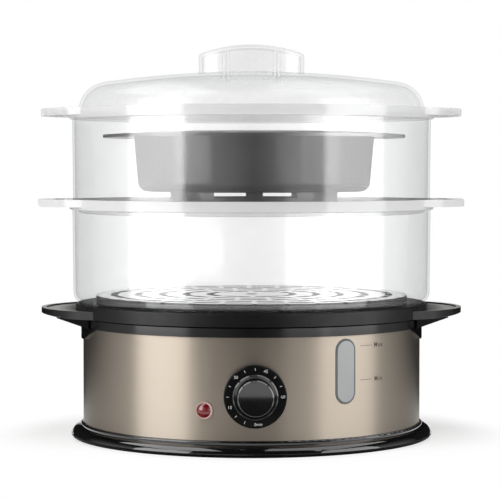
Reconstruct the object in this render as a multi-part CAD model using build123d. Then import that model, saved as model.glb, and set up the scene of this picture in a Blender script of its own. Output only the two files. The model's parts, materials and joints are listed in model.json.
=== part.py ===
"""Two-tier electric food steamer, built as the separate pieces that it comes apart into.

Millimetres, +Z up. The origin is on the table under the centre of the base. The timer dial faces -Y, and
the handles point to -X and +X. Each piece is written to parts/NODE.step.

A place round the base is an angle from the front: positive towards +X, so 180 is the rear.
"""

import os
from math import asin, atan2, cos, degrees, hypot, pi, radians, sin, sqrt, tan

from build123d import *

# ---------------------------------------------------------------- shared clearances
SEAT_GAP = 0.3  # under a piece that is lifted off
FIT_GAP = 0.15  # round a piece that is fixed in place
RUNNING_GAP = 0.1  # round a turning shaft
SLIDE_GAP = 0.4  # round a piece that lifts out

# ---------------------------------------------------------------- overall sizes
BASKET_RADIUS = 119.6  # of a basket's wall at its top; the base, tray and lid follow it
BAND_INSET = 7.0  # the steel band is this much smaller than the baskets
BAND_RADIUS = BASKET_RADIUS - BAND_INSET

# ---------------------------------------------------------------- base: steel band, foot and tub
BAND_THICKNESS = 0.6
BAND_BOTTOM = 11.0
BAND_HEIGHT = 64.0
BAND_SEAM = 0.8
BAND_TOP = BAND_BOTTOM + BAND_HEIGHT
BAND_FACE = -BAND_RADIUS

FOOT_FLARE = 8.0  # how far the foot stands out past the band
FOOT_CLEARANCE = 1.4  # under the foot's edge: the rubber feet carry the weight
FOOT_WALL = 2.4
FOOT_LIP = 1.4  # of the foot, between its flange and the band
FOOT_FLANGE_WIDTH = 8.5
FOOT_STEP = 0.4  # proud of the band at its top
FOOT_BEAD = 1.7  # how far the bead along its top stands out past the band
FOOT_BEAD_HEIGHT = 2.3
FOOT_TUCK = 1.4  # how far its bottom edge turns back in
FOOT_SHOULDER = 1.0

HOUSING_WALL = 2.4
HOUSING_RIM_RISE = 4.0  # the tub's rim above the band
FLOOR_THICKNESS = 2.5
HOUSING_RADIUS = BAND_RADIUS - BAND_THICKNESS - FIT_GAP
HOUSING_INNER = HOUSING_RADIUS - HOUSING_WALL
HOUSING_TOP = BAND_TOP + HOUSING_RIM_RISE

# Foot flange, clamped between the tub's wall and the bottom cover
FLANGE_TOP = BAND_BOTTOM - FIT_GAP - FOOT_LIP
FLANGE_BOTTOM = FLANGE_TOP - FOOT_WALL
HOUSING_BOTTOM = FLANGE_TOP + FIT_GAP

# Bottom cover, its screws and the rubber feet in it
COVER_THICKNESS = 2.2
COVER_MARGIN = 1.5
COVER_TOP = FLANGE_BOTTOM - FIT_GAP
COVER_BOTTOM = COVER_TOP - COVER_THICKNESS
COVER_RADIUS = HOUSING_INNER - COVER_MARGIN
COVER_SLOT = (46.0, 3.0)  # length and width of an air slot
COVER_SLOT_PITCH = 9.0
COVER_SLOT_COUNT = 7
COVER_SCREW_INSET = 12.0  # from the cover's edge
COVER_SCREW_CIRCLE = COVER_RADIUS - COVER_SCREW_INSET
COVER_SCREW_RADIUS = 1.5
COVER_SCREW_HEAD = 3.4
COVER_SCREW_HEAD_HEIGHT = 1.6
COVER_SCREW_LENGTH = 12.0
COVER_SCREW_COUNT = 4
COVER_SCREW_CROSS = (4.0, 0.7, 0.8)  # the driver slot's length, width and depth
BOSS_WALL = 3.0
BOSS_RADIUS = COVER_SCREW_RADIUS + BOSS_WALL

RUBBER_FOOT_RADIUS = 8.0
RUBBER_FOOT_STEM = 2.8
RUBBER_FOOT_BARB = 0.8  # how far the barb stands out from the stem
RUBBER_FOOT_BARB_HEIGHT = 1.4
RUBBER_FOOT_INSET = 20.0  # from the cover's edge
RUBBER_FOOT_CIRCLE = COVER_RADIUS - RUBBER_FOOT_INSET
RUBBER_FOOT_ANGLES = (60, 120, 240, 300)

# ---------------------------------------------------------------- mains inlet, which sets the floor's height
GLAND_BORE = 3.4
GLAND_WALL = 1.8
GLAND_LOCK = 1.2
GLAND_BODY = GLAND_BORE + GLAND_WALL
GLAND_FLANGE = GLAND_BODY + 1.4
GLAND_FLANGE_THICKNESS = 2.2
GLAND_MARGIN = 0.6  # above the band's bottom edge
GLAND_SLEEVE = 11.0  # how far it reaches behind the band
GLAND_INSIDE = 3.4  # how far it reaches inside the tub's wall
GLAND_LOCK_THICKNESS = 1.65
GLAND_TAPER = 1.0
GLAND_Z = BAND_BOTTOM + GLAND_MARGIN + GLAND_FLANGE
FLOOR_BOTTOM = GLAND_Z + GLAND_BODY + GLAND_LOCK + 0.2
FLOOR_TOP = FLOOR_BOTTOM + FLOOR_THICKNESS

# ---------------------------------------------------------------- collar and drip tray
COLLAR_STEP = 1.1  # proud of the band
COLLAR_ROOF = 2.3
COLLAR_LEG = 2.5
COLLAR_LEG_DEPTH = 5.0
COLLAR_BEVEL = 0.8
COLLAR_RADIUS = BAND_RADIUS + COLLAR_STEP
COLLAR_TOP = HOUSING_TOP + FIT_GAP + COLLAR_ROOF
COLLAR_LEG_OUTER = HOUSING_INNER - FIT_GAP
COLLAR_LEG_INNER = COLLAR_LEG_OUTER - COLLAR_LEG

EAR_STEP = 1.4  # proud of the band
EAR_DROP = 8.0  # below the band's top
EAR_HALF_BOTTOM = 27.0
EAR_HALF_TOP = 55.0
EAR_CORNER = 5.0
EAR_RADIUS = BAND_RADIUS + EAR_STEP

TRAY_WALL = 2.0
TRAY_RIM_WALL = 2.0
TRAY_FLANGE = 2.2
TRAY_RIM_STEP = 4.8  # the rim stands out this far past the band
TRAY_RIM_HEIGHT = 8.1
TRAY_BEVEL = 0.6
TRAY_DISH_DEPTH = 8.3  # below the flange
TRAY_SEAT_DROP = 0.7  # of the first basket's seat below the rim
TRAY_CHIMNEY_RADIUS = 28.0
TRAY_CHIMNEY_HEIGHT = 12.5
TRAY_RIM_RADIUS = BAND_RADIUS + TRAY_RIM_STEP
TRAY_FLANGE_BOTTOM = COLLAR_TOP + SEAT_GAP
TRAY_RIM_TOP = TRAY_FLANGE_BOTTOM + TRAY_RIM_HEIGHT
TRAY_SEAT_TOP = TRAY_RIM_TOP - TRAY_SEAT_DROP
TRAY_DISH_RADIUS = COLLAR_LEG_INNER - SLIDE_GAP
TRAY_FLOOR_BOTTOM = TRAY_FLANGE_BOTTOM - TRAY_DISH_DEPTH

TRAY_HANDLE_REACH = 23.1  # past the tray's rim
TRAY_HANDLE_ARC = 61.0
TRAY_HANDLE_HEIGHT = 5.4
TRAY_HANDLE_TIP_THICKNESS = 3.3
TRAY_HANDLE_RIM = 3.2
TRAY_HANDLE_DISH = 0.9
TRAY_HANDLE_SLOPE_START = 3.0  # past the rim
TRAY_HANDLE_TIP = TRAY_RIM_RADIUS + TRAY_HANDLE_REACH
TRAY_HANDLE_TOP = TRAY_FLANGE_BOTTOM + TRAY_HANDLE_HEIGHT
GUSSET_HALF_WIDTH = 42.0
GUSSET_STEP = 10.1  # past the tray's rim
GUSSET_REACH = TRAY_RIM_RADIUS + GUSSET_STEP
GUSSET_ROOT_INSET = 5.6
GUSSET_ROOT = (BAND_RADIUS - GUSSET_ROOT_INSET, BAND_TOP)  # where its sloping underside would meet the band

# Dry pocket at the front of the tub, for the timer and the lamp
POCKET_DEPTH = 51.85
POCKET_MARGIN = 4.95  # under the drip tray
POCKET_BACK = HOUSING_RADIUS - POCKET_DEPTH  # its rear wall, from the middle of the base
POCKET_TOP = TRAY_FLOOR_BOTTOM - POCKET_MARGIN

# ---------------------------------------------------------------- steaming baskets
BASKET_DRAFT = 0.5  # how much narrower the wall is at the bottom
BASKET_WALL = 1.5
BASKET_FILLET = 8.0
BASKET_PITCH = 60.0  # from one basket's bottom to the next one's
BASKET_FLOOR = 1.8
BASKET_RIM_HEIGHT = 5.7  # above the ledge
BASKET_RIM_WALL = 1.3
BASKET_LEDGE = 0.9
BASKET_INNER = BASKET_RADIUS - BASKET_WALL
BASKET_FOOT_RADIUS = BASKET_RADIUS - BASKET_DRAFT
BASKET_FLAT_RADIUS = BASKET_FOOT_RADIUS - BASKET_FILLET
# The next basket's rounded bottom comes to rest on the ledge's inner edge.
NEST_DEPTH = BASKET_FILLET - sqrt(BASKET_FILLET**2 - (BASKET_INNER - BASKET_FLAT_RADIUS) ** 2)
LEDGE_TOP = BASKET_PITCH + NEST_DEPTH - SEAT_GAP
RIM_GAP = SLIDE_GAP + 0.1
RIM_INNER = BASKET_RADIUS + RIM_GAP
RIM_OUTER = RIM_INNER + BASKET_RIM_WALL
RIM_TOP = LEDGE_TOP + BASKET_RIM_HEIGHT
LOWER_BASKET_Z = TRAY_SEAT_TOP + SEAT_GAP
UPPER_BASKET_Z = LOWER_BASKET_Z + BASKET_PITCH

LOWER_HANDLE_REACH = 21.2  # past the basket's rim
UPPER_HANDLE_REACH = 19.0
BASKET_HANDLE_ARC = 55.0
BASKET_HANDLE_THICKNESS = 4.8
BASKET_HANDLE_SKIN = 1.8
FINGER_SLOT_OFFSET = 6.4  # from the basket's rim to the slot's middle
FINGER_SLOT_WIDTH = 7.6
FINGER_SLOT_LENGTH = 50.0
LOWER_HANDLE_TIP = RIM_OUTER + LOWER_HANDLE_REACH
UPPER_HANDLE_TIP = RIM_OUTER + UPPER_HANDLE_REACH
FINGER_SLOT_CENTRE = RIM_OUTER + FINGER_SLOT_OFFSET

GRILLE_INSET = 7.1  # from where the basket's bottom starts to curve up
GRILLE_OVERLAP = 5.0  # of the basket's floor under the grille's rim
GRILLE_RIM = 2.5
GRILLE_HEIGHT = 3.6
GRILLE_PLATE = 1.6
GRILLE_SLOT_WIDTH = 5.0
GRILLE_BAR = 3.4
GRILLE_HUB_HOLE = 4.0
GRILLE_NOTCHES = 32  # small steam notches over the rim
GRILLE_NOTCH = (3.0, 1.3)  # width and depth
GRILLE_FIRST_RING = 28.0  # radius of the innermost ring of slots
GRILLE_RING_PITCH = 16.0
GRILLE_SLOT_PITCH = 20.4  # along a ring, from slot to slot
GRILLE_RADIUS = BASKET_FLAT_RADIUS - GRILLE_INSET
FLOOR_RING_INNER = GRILLE_RADIUS - GRILLE_OVERLAP
GRILLE_TOP = BASKET_FLOOR + SEAT_GAP + GRILLE_HEIGHT

# ---------------------------------------------------------------- rice bowl
BOWL_X = 1.7  # stands a little off centre
BRIM_INSET = 17.2  # from the basket's wall
BRIM_WIDTH = 20.5
BRIM_DROOP = 1.7
BOWL_DRAFT = 2.7
BOWL_WALL = 2.0
BOWL_HEIGHT = 48.0
BOWL_FILLET = 6.5
BOWL_FOOT_INSET = 24.4  # of the ring it stands on, from its wall
BOWL_FOOT_HEIGHT = 8.4
BOWL_FOOT_SILL = 4.6  # of the gaps through that ring, front and back
BOWL_FOOT_GAPS = ((-27.0, -4.5), (-1.2, 1.2), (4.5, 27.0))
BRIM_RADIUS = BASKET_INNER - BRIM_INSET
BOWL_RADIUS = BRIM_RADIUS - BRIM_WIDTH
BOWL_FOOT_RADIUS = BOWL_RADIUS - BOWL_FOOT_INSET
BOWL_Z = UPPER_BASKET_Z + GRILLE_TOP + SEAT_GAP

# ---------------------------------------------------------------- lid
LID_WALL = 2.0
LID_SHOULDER = 4.4  # from the basket's wall in to the lid's side
LID_SHOULDER_TOP = 3.2  # above its seat
LID_SIDE_HEIGHT = 6.0  # from its seat to where the dome starts to turn in
LID_CORNER_WIDTH = 18.2  # from the lid's side in to the crown
LID_CORNER_HEIGHT = 22.8
LID_CROWN_RISE = 7.1
LID_BEVEL = 0.6
LID_SIDE_RADIUS = BASKET_RADIUS - LID_SHOULDER
LID_CORNER_RADIUS = LID_SIDE_RADIUS - LID_CORNER_WIDTH
LID_CROWN_HEIGHT = LID_CORNER_HEIGHT + LID_CROWN_RISE
LID_SKIRT_RADIUS = RIM_INNER - SLIDE_GAP
LID_Z = UPPER_BASKET_Z + LEDGE_TOP + SEAT_GAP

LID_HANDLE_HALF_LENGTH = 35.3
LID_HANDLE_HALF_WIDTH = 15.0
LID_HANDLE_RISE = 17.8  # above the crown
LID_HANDLE_ARCH = 108.0
LID_HANDLE_WALL = 2.2
LID_HANDLE_EDGE = 1.8
LID_HANDLE_TOP = LID_CROWN_HEIGHT + LID_HANDLE_RISE
PEG_RADIUS = 2.6
PEG_OFFSET = 17.0
PEG_HEAD = 1.4  # how far the head stands out from the peg
PEG_HEAD_THICKNESS = 1.2
PEG_HEAD_GAP = 0.5  # below the lid, which curves away over the head
VENT_RADIUS = 1.9
VENT_CIRCLE = 46.0
VENT_ANGLES = (-14, 0, 14, 166, 180, 194)

# ---------------------------------------------------------------- timer
CASE_WALL = 1.2
CASE_DEPTH = 23.0
CASE_SETBACK = 5.2  # its face behind the tub's wall
CASE_MARGIN = 2.1  # between it and the pocket's roof
TIMER_SEAT_WALL = 6.0  # of the boss behind the tub's wall that the case is clamped to
GEAR_MODULE = 0.75
MAIN_TEETH = 36
PINION_TEETH = 12
GEAR_ADDENDUM = 0.8 * GEAR_MODULE
GEAR_DEDENDUM = 1.1 * GEAR_MODULE
GEAR_FACE = 2.2
GEAR_HUB_WALL = 2.0
GEAR_HUB_RISE = 1.6
PRESSURE_ANGLE = 20
TOOTH_UP = 90  # a tooth of the main gear points straight up, between two of the pinion's
TOOTH_BACKLASH = 0.16
ARBOR_RADIUS = 1.0
PINION_MARGIN = 1.1  # between its teeth and the case
GEAR_CENTRES = GEAR_MODULE * (MAIN_TEETH + PINION_TEETH) / 2
CASE_RADIUS = GEAR_CENTRES + GEAR_MODULE * PINION_TEETH / 2 + GEAR_ADDENDUM + PINION_MARGIN + CASE_WALL

DIAL_Z = POCKET_TOP - HOUSING_WALL - CASE_MARGIN - CASE_RADIUS
DIAL_PROUD = 2.0
DIAL_MARGIN = 5.5  # width of the ring of numbers round the knob
DIAL_BEVEL = 0.6
KNOB_RADIUS = 11.4
KNOB_SKIRT_STEP = 2.7
KNOB_SKIRT_THICKNESS = 3.0
KNOB_SKIRT_BEVEL = 0.8
KNOB_LENGTH = 11.0
KNOB_BEVEL = 0.9
KNOB_FACE_WALL = 2.5
KNOB_CAVITY_GAP = 0.6  # round the nut and the bush
POINTER_WIDTH = 6.0
POINTER_RISE = 1.6
POINTER_OVERHANG = 0.8
SHAFT_RADIUS = 3.0
BUSH_WALL = 2.0
NUT_WALL = 1.5
NUT_THICKNESS = 2.2
PRESS_GAP = 0.03  # round the shaft in a piece that turns with it
KNOB_SKIRT_RADIUS = KNOB_RADIUS + KNOB_SKIRT_STEP
DIAL_RADIUS = KNOB_SKIRT_RADIUS + DIAL_MARGIN
BUSH_RADIUS = SHAFT_RADIUS + BUSH_WALL
NUT_ACROSS_FLATS = 2 * (BUSH_RADIUS + NUT_WALL)

CAM_RADIUS = 9.0
CAM_THICKNESS = 2.0
CAM_NOTCH = 4.0
BARREL_RADIUS = 11.0
BARREL_MARGIN = 0.8  # in front of the back plate
BELL_RADIUS = 15.0
BELL_DEPTH = 7.0
BELL_WALL = 0.8
BELL_CORNER = 3.0

DIAL_FACE = BAND_FACE - DIAL_PROUD
KNOB_BACK = DIAL_FACE - SLIDE_GAP
KNOB_FACE = KNOB_BACK - KNOB_LENGTH
CASE_FACE = -(HOUSING_INNER - CASE_SETBACK)
WALL_CUT_BACK = CASE_FACE + 3.0  # how far in the holes through the band and the tub are cut
CASE_BACK = CASE_FACE + CASE_DEPTH
BACK_PLATE_FACE = CASE_BACK - CASE_WALL
BUSH_END = DIAL_FACE - NUT_THICKNESS - 0.4
GEAR_FRONT = CASE_FACE + 5.0
CAM_FRONT = GEAR_FRONT + GEAR_FACE + 2.2
BARREL_FRONT = CAM_FRONT + 3.6
BELL_FRONT = CASE_BACK + 1.6
PINION_Z = DIAL_Z + GEAR_CENTRES
BELL_POST = (0.0, DIAL_Z + 6.5)  # the bell's centre, clear of the shaft's end
BELL_POST_RADIUS = 2.4
BELL_SCREW_RADIUS = 1.0
BELL_SCREW_HEAD = 2.2
BELL_SCREW_LENGTH = 5.0
HAMMER_PIVOT = (-21.0, DIAL_Z - 13.0)
HAMMER_HEAD = (-19.4, DIAL_Z + 3.2)
HAMMER_PIN_RADIUS = 1.2
HAMMER_EYE_RADIUS = 2.6
HAMMER_HEAD_RADIUS = 1.7
HAMMER_ARM_WIDTH = 2.0
HAMMER_THICKNESS = 1.2
SWITCH_BLADES = (13.0, 17.0)  # where the two contact blades stand, across from the shaft
SWITCH_BLADE_THICKNESS = 0.6
SWITCH_BLADE_SPAN = (DIAL_Z - 9.0, DIAL_Z - 4.0)  # heights between which the blades pass the back plate
SWITCH_BLADE_INSET = 0.6  # inside that span
SWITCH_BLOCK_WALL = 1.6
SWITCH_BLOCK_DEPTH = 4.5
SWITCH_TAB_LENGTH = 8.0  # behind the case
SWITCH_TAB_END = CASE_BACK + SWITCH_TAB_LENGTH

# ---------------------------------------------------------------- lamp
LAMP_CASE_MARGIN = 5.825  # from the clockwork's case out to the lamp's middle
LAMP_DROP = 8.9  # below the dial's centre
LAMP_RADIUS = 4.3
LAMP_FLANGE = 1.0
LAMP_PROUD = 1.2
LAMP_CAP_RISE = 1.6
LAMP_WALL = 1.2
LAMP_FACE_WALL = 1.4
LAMP_LENGTH = 10.0
NEON_LENGTH = 12.0
NEON_BASE_STEP = 0.4
NEON_BASE_LENGTH = 2.4
LAMP_NUT_WIDTH = 2.6
LAMP_NUT_THICKNESS = 1.8
LAMP_Z = DIAL_Z - LAMP_DROP
LAMP_OFFSET = CASE_RADIUS + LAMP_CASE_MARGIN
LAMP_ANGLE = -degrees(asin(LAMP_OFFSET / BAND_RADIUS))
LAMP_FLANGE_RADIUS = LAMP_RADIUS + LAMP_FLANGE
NEON_RADIUS = LAMP_RADIUS - LAMP_WALL - 0.5
LAMP_NUT_RADIUS = LAMP_RADIUS + RUNNING_GAP + LAMP_NUT_WIDTH
LAMP_POCKET_MARGIN = 2.4  # between the lamp's nut and the pocket's side
POCKET_HALF_WIDTH = LAMP_OFFSET + LAMP_NUT_RADIUS + LAMP_POCKET_MARGIN + HOUSING_WALL

# ---------------------------------------------------------------- water window
WINDOW_ANGLE = 30.3
WINDOW_WIDTH = 15.0
WINDOW_TOP_MARGIN = 1.8  # under the band's top edge
WINDOW_FLOOR_MARGIN = 4.7  # above the tub's floor
WINDOW_FRAME = 1.3
WINDOW_FLANGE = 2.0
WINDOW_PROUD = 0.6
WINDOW_SEAL_PROUD = 0.3
WINDOW_FLANGE_THICKNESS = 1.5
WINDOW_TOP = BAND_TOP - WINDOW_TOP_MARGIN
WINDOW_BOTTOM = FLOOR_TOP + WINDOW_FLOOR_MARGIN
WINDOW_HEIGHT = WINDOW_TOP - WINDOW_BOTTOM
WINDOW_Z = (WINDOW_TOP + WINDOW_BOTTOM) / 2

# ---------------------------------------------------------------- heater
TUBE_CIRCLE = 21.5
TUBE_RADIUS = 3.5
TUBE_GAP_ANGLE = 60.0
HEATER_HOLE_MARGIN = 5.0  # round the element
HEATER_LAP = 7.0  # of the plate on the tub's floor
HEATER_PLATE = 2.5
HEATER_PLATE_EDGE = 0.8
GASKET_THICKNESS = 1.5
CLAMP_THICKNESS = 1.5
HEATER_SCREW_RADIUS = 1.5
HEATER_SCREW_HEAD = 2.8
HEATER_SCREW_HEAD_HEIGHT = 1.8
HEATER_SCREW_ANGLES = (90, 210, 330)
SCREW_BOSS_RISE = 2.2  # of the closed screw bosses above the plate
SCREW_HOLE_RISE = 1.2  # of the blind hole in them
CLAMP_MARGIN = 2.0  # round the element
THERMOSTAT_RADIUS = 8.0
THERMOSTAT_HEIGHT = 7.0
CLIP_WIDTH = 7.0
CLIP_SHEET = 0.8
CLIP_INSET = 7.0  # from the clamp's edge
CLIP_FOOT = 5.0
CLIP_CHEEK = 2.4
FUSE_RADIUS = 2.0
FUSE_LENGTH = 12.0
FUSE_LEAD_RADIUS = 0.5
FUSE_LEAD_LENGTH = 5.0
FUSE_INSET = 6.5  # from the clamp's edge
PIN_RADIUS = 1.3
PIN_LENGTH = 6.0
TAB = (0.8, 6.3, 5.0)  # thickness, width and length of a push-on tab
TUBE_OUTER = TUBE_CIRCLE + TUBE_RADIUS
HEATER_HOLE = TUBE_OUTER + HEATER_HOLE_MARGIN
HEATER_PLATE_RADIUS = HEATER_HOLE + HEATER_LAP
HEATER_SCREW_CIRCLE = HEATER_HOLE + HEATER_LAP / 2
CLAMP_RADIUS = HEATER_PLATE_RADIUS + 3.0
PLATE_BOTTOM = FLOOR_TOP + GASKET_THICKNESS
PLATE_TOP = PLATE_BOTTOM + HEATER_PLATE
CLAMP_TOP = FLOOR_BOTTOM
CLAMP_BOTTOM = CLAMP_TOP - CLAMP_THICKNESS
TUBE_Z = PLATE_BOTTOM - TUBE_RADIUS

STEAM_RING_MARGIN = 8.0  # round the heater plate
STEAM_RING_WALL = 2.0
STEAM_RING_LIP = 6.0
STEAM_RING_HEIGHT = 26.0
STEAM_NOTCH_WIDTH = 12.0
STEAM_NOTCH_HEIGHT = 8.0
STEAM_NOTCH_COUNT = 8
STEAM_RING_RADIUS = HEATER_PLATE_RADIUS + STEAM_RING_MARGIN

# ---------------------------------------------------------------- wiring
TERMINAL_BLOCK = (26.0, 12.0, 9.0)
TERMINAL_BLOCK_INSET = 27.45  # from the tub's wall to its middle
TERMINAL_PITCH = 8.0
TERMINAL_HOLE = (2.0, 3.5)  # radius and depth
TERMINAL_BLOCK_Y = HOUSING_INNER - TERMINAL_BLOCK_INSET
WIRE_RADIUS = 1.0
WIRE_BEND = 5.0
WIRE_RUN = 14.0  # straight out of a terminal
WIRE_LAYER = 3.0
WIRE_SIDE_MARGIN = 16.0  # round the heater clamp


# ================================================================ building helpers
def disc(radius, bottom, top, x=0.0, y=0.0):
    return Pos(x, y, bottom) * extrude(Circle(radius), top - bottom)


def ring(inner, outer, bottom, top):
    return Pos(0, 0, bottom) * extrude(Circle(outer) - Circle(inner), top - bottom)


def block(x0, x1, y0, y1, z0, z1):
    centre = ((x0 + x1) / 2, (y0 + y1) / 2, (z0 + z1) / 2)
    return Pos(*centre) * Box(x1 - x0, y1 - y0, z1 - z0)


def turned(edges):
    """A solid of revolution about Z from a closed outline of (radius, height) edges."""
    return revolve(Plane.XZ * make_face(Curve() + list(edges)), Axis.Z)


def turned_polygon(points):
    return revolve(Plane.XZ * make_face(Polyline(*points, close=True)), Axis.Z)


def rod_y(radius, front, back, x=0.0, z=0.0):
    """A cylinder along Y, from y = front to y = back."""
    return Pos(x, (front + back) / 2, z) * Rot(90, 0, 0) * Cylinder(radius, back - front)


def tube_y(inner, outer, front, back, x=0.0, z=0.0):
    return rod_y(outer, front, back, x, z) - rod_y(inner, front, back, x, z)


def prism_y(sketch, front, back):
    """Extrudes a sketch drawn in (x, z) from y = front to y = back."""
    plane = Plane(origin=(0, back, 0), x_dir=(1, 0, 0), z_dir=(0, -1, 0))
    return extrude(plane * sketch, back - front)


def prism_x(sketch, low, high):
    """Extrudes a sketch drawn in (y, z) from x = low to x = high."""
    plane = Plane(origin=(low, 0, 0), x_dir=(0, 1, 0), z_dir=(1, 0, 0))
    return extrude(plane * sketch, high - low)


def polygon(points):
    return make_face(Polyline(*points, close=True))


def from_front(angle):
    return Rot(0, 0, angle)


def around(radius, angles):
    """Points on a circle, each at an angle from the front."""
    return [(radius * sin(radians(a)), -radius * cos(radians(a))) for a in angles]


def mirrored_pair(shape):
    return shape + mirror(shape, Plane.YZ)


def grip_outline(tip, arc, inner):
    """Plan of the right-hand grip: a round lobe that grows out of a circle about the origin."""
    return Pos(tip - arc, 0) * Circle(arc) - Circle(inner)


# ================================================================ base shell
def cover_screw_points():
    step = 360 / COVER_SCREW_COUNT
    return around(COVER_SCREW_CIRCLE, [step / 2 + step * i for i in range(COVER_SCREW_COUNT)])


def window_outline(width, height):
    return Pos(0, WINDOW_Z) * SlotOverall(height, width, rotation=90)


def front_openings(front, back):
    """The holes that the band and the tub share: window, lamp, timer bush and cord inlet."""
    window = prism_y(window_outline(WINDOW_WIDTH, WINDOW_HEIGHT), front, back)
    lamp = rod_y(LAMP_RADIUS + FIT_GAP, front, back, z=LAMP_Z)
    bush = rod_y(BUSH_RADIUS + FIT_GAP, front, back, z=DIAL_Z)
    gland = rod_y(GLAND_BODY + FIT_GAP, front, back, z=GLAND_Z)
    return (
        from_front(WINDOW_ANGLE) * window
        + from_front(LAMP_ANGLE) * lamp
        + bush
        + from_front(180) * gland
    )


def metal_band():
    band = ring(BAND_RADIUS - BAND_THICKNESS, BAND_RADIUS, BAND_BOTTOM, BAND_TOP)
    seam = block(-BAND_SEAM / 2, BAND_SEAM / 2, 0, BAND_RADIUS + 1, GLAND_Z, BAND_TOP + 1)
    return band - front_openings(BAND_FACE - 1, WALL_CUT_BACK) - seam


def base_housing():
    inside_wall = disc(HOUSING_INNER, HOUSING_BOTTOM - 1, HOUSING_TOP + 1)
    pocket = block(
        -POCKET_HALF_WIDTH, POCKET_HALF_WIDTH, -HOUSING_RADIUS, -POCKET_BACK, FLOOR_BOTTOM, POCKET_TOP
    )
    pocket_space = block(
        -POCKET_HALF_WIDTH + HOUSING_WALL,
        POCKET_HALF_WIDTH - HOUSING_WALL,
        -HOUSING_RADIUS,
        -POCKET_BACK - HOUSING_WALL,
        HOUSING_BOTTOM - 1,
        POCKET_TOP - HOUSING_WALL,
    )
    reservoir = disc(HOUSING_INNER, FLOOR_TOP, HOUSING_TOP + 1) - pocket
    dry_space = disc(HOUSING_INNER, HOUSING_BOTTOM - 1, FLOOR_BOTTOM) + (pocket_space & inside_wall)
    tub = disc(HOUSING_RADIUS, HOUSING_BOTTOM, HOUSING_TOP) - reservoir - dry_space
    tub -= disc(HEATER_HOLE, FLOOR_BOTTOM - 1, FLOOR_TOP + 1)

    timer_seat = rod_y(BUSH_RADIUS + TIMER_SEAT_WALL, BAND_FACE, CASE_FACE - FIT_GAP, z=DIAL_Z)
    tub += timer_seat & disc(HOUSING_RADIUS - 1, 0, POCKET_TOP)
    for x, y in cover_screw_points():
        tub += disc(BOSS_RADIUS, COVER_TOP + FIT_GAP, FLOOR_BOTTOM + 1, x, y)
        tub -= disc(COVER_SCREW_RADIUS + RUNNING_GAP, COVER_TOP, COVER_BOTTOM + COVER_SCREW_LENGTH + 1, x, y)
    for x, y in around(HEATER_SCREW_CIRCLE, HEATER_SCREW_ANGLES):
        tub -= disc(HEATER_SCREW_RADIUS + FIT_GAP, FLOOR_BOTTOM - 1, FLOOR_TOP + 1, x, y)
    return tub - front_openings(BAND_FACE - 1, WALL_CUT_BACK)


def foot_ring():
    """The flared skirt under the band, with the flange that the tub and the cover clamp."""
    top = BAND_BOTTOM - FIT_GAP / 2
    drop = top - FOOT_CLEARANCE
    flange_inner = HOUSING_INNER - FOOT_FLANGE_WIDTH
    flange_outer = HOUSING_RADIUS + FIT_GAP
    shoulder = HOUSING_RADIUS - FOOT_SHOULDER
    widest = BAND_RADIUS + FOOT_FLARE
    foot_outer = widest - FOOT_TUCK
    foot_inner = widest - FOOT_WALL - FOOT_TUCK / 2
    top_outer = (BAND_RADIUS + FOOT_STEP, top)
    bead_outer = BAND_RADIUS + FOOT_BEAD
    bead_round = FOOT_BEAD - FOOT_STEP
    bead_mid = (bead_outer - bead_round * (1 - sqrt(0.5)), top - bead_round * (1 - sqrt(0.5)))
    bead_side = (bead_outer, top - bead_round)
    flare_start = (bead_outer, top - FOOT_BEAD_HEIGHT)
    flare_mid = (BAND_RADIUS + FOOT_FLARE * 0.74, top - drop * 0.42)
    flare_end = (widest, top - drop * 0.76)
    edge_mid = (widest - FOOT_TUCK / 4, top - drop * 0.91)
    edge_end = (foot_outer, FOOT_CLEARANCE)
    under_start = (foot_inner, FOOT_CLEARANCE)
    under_mid = (foot_inner - FOOT_WALL / 2, FOOT_CLEARANCE + drop * 0.34)
    under_end = (shoulder, FLANGE_BOTTOM)
    corners = [
        under_end,
        (flange_inner, FLANGE_BOTTOM),
        (flange_inner, FLANGE_TOP),
        (flange_outer, FLANGE_TOP),
        (flange_outer, top),
        top_outer,
    ]
    outline = [
        ThreePointArc(top_outer, bead_mid, bead_side),
        Line(bead_side, flare_start),
        ThreePointArc(flare_start, flare_mid, flare_end),
        ThreePointArc(flare_end, edge_mid, edge_end),
        Line(edge_end, under_start),
        ThreePointArc(under_start, under_mid, under_end),
    ]
    return turned(outline + [Line(a, b) for a, b in zip(corners, corners[1:])])


def bottom_cover():
    cover = disc(COVER_RADIUS, COVER_BOTTOM, COVER_TOP)
    for x, y in cover_screw_points():
        cover -= disc(COVER_SCREW_RADIUS + FIT_GAP, COVER_BOTTOM - 1, COVER_TOP + 1, x, y)
    for x, y in around(RUBBER_FOOT_CIRCLE, RUBBER_FOOT_ANGLES):
        cover -= disc(RUBBER_FOOT_STEM + FIT_GAP, COVER_BOTTOM - 1, COVER_TOP + 1, x, y)
    for i in range(COVER_SLOT_COUNT):
        y = COVER_SLOT_PITCH * (i - (COVER_SLOT_COUNT - 1) / 2)
        cover -= Pos(0, y, COVER_BOTTOM - 1) * extrude(SlotOverall(*COVER_SLOT), COVER_THICKNESS + 2)
    return cover


def rubber_feet():
    feet = []
    for x, y in around(RUBBER_FOOT_CIRCLE, RUBBER_FOOT_ANGLES):
        barb_top = COVER_TOP + RUBBER_FOOT_BARB_HEIGHT
        foot = disc(RUBBER_FOOT_RADIUS, 0, COVER_BOTTOM - FIT_GAP / 2, x, y)
        foot += disc(RUBBER_FOOT_STEM, 0, barb_top, x, y)
        foot += disc(RUBBER_FOOT_STEM + RUBBER_FOOT_BARB, COVER_TOP + FIT_GAP / 2, barb_top, x, y)
        feet.append(foot)
    return feet


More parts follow.
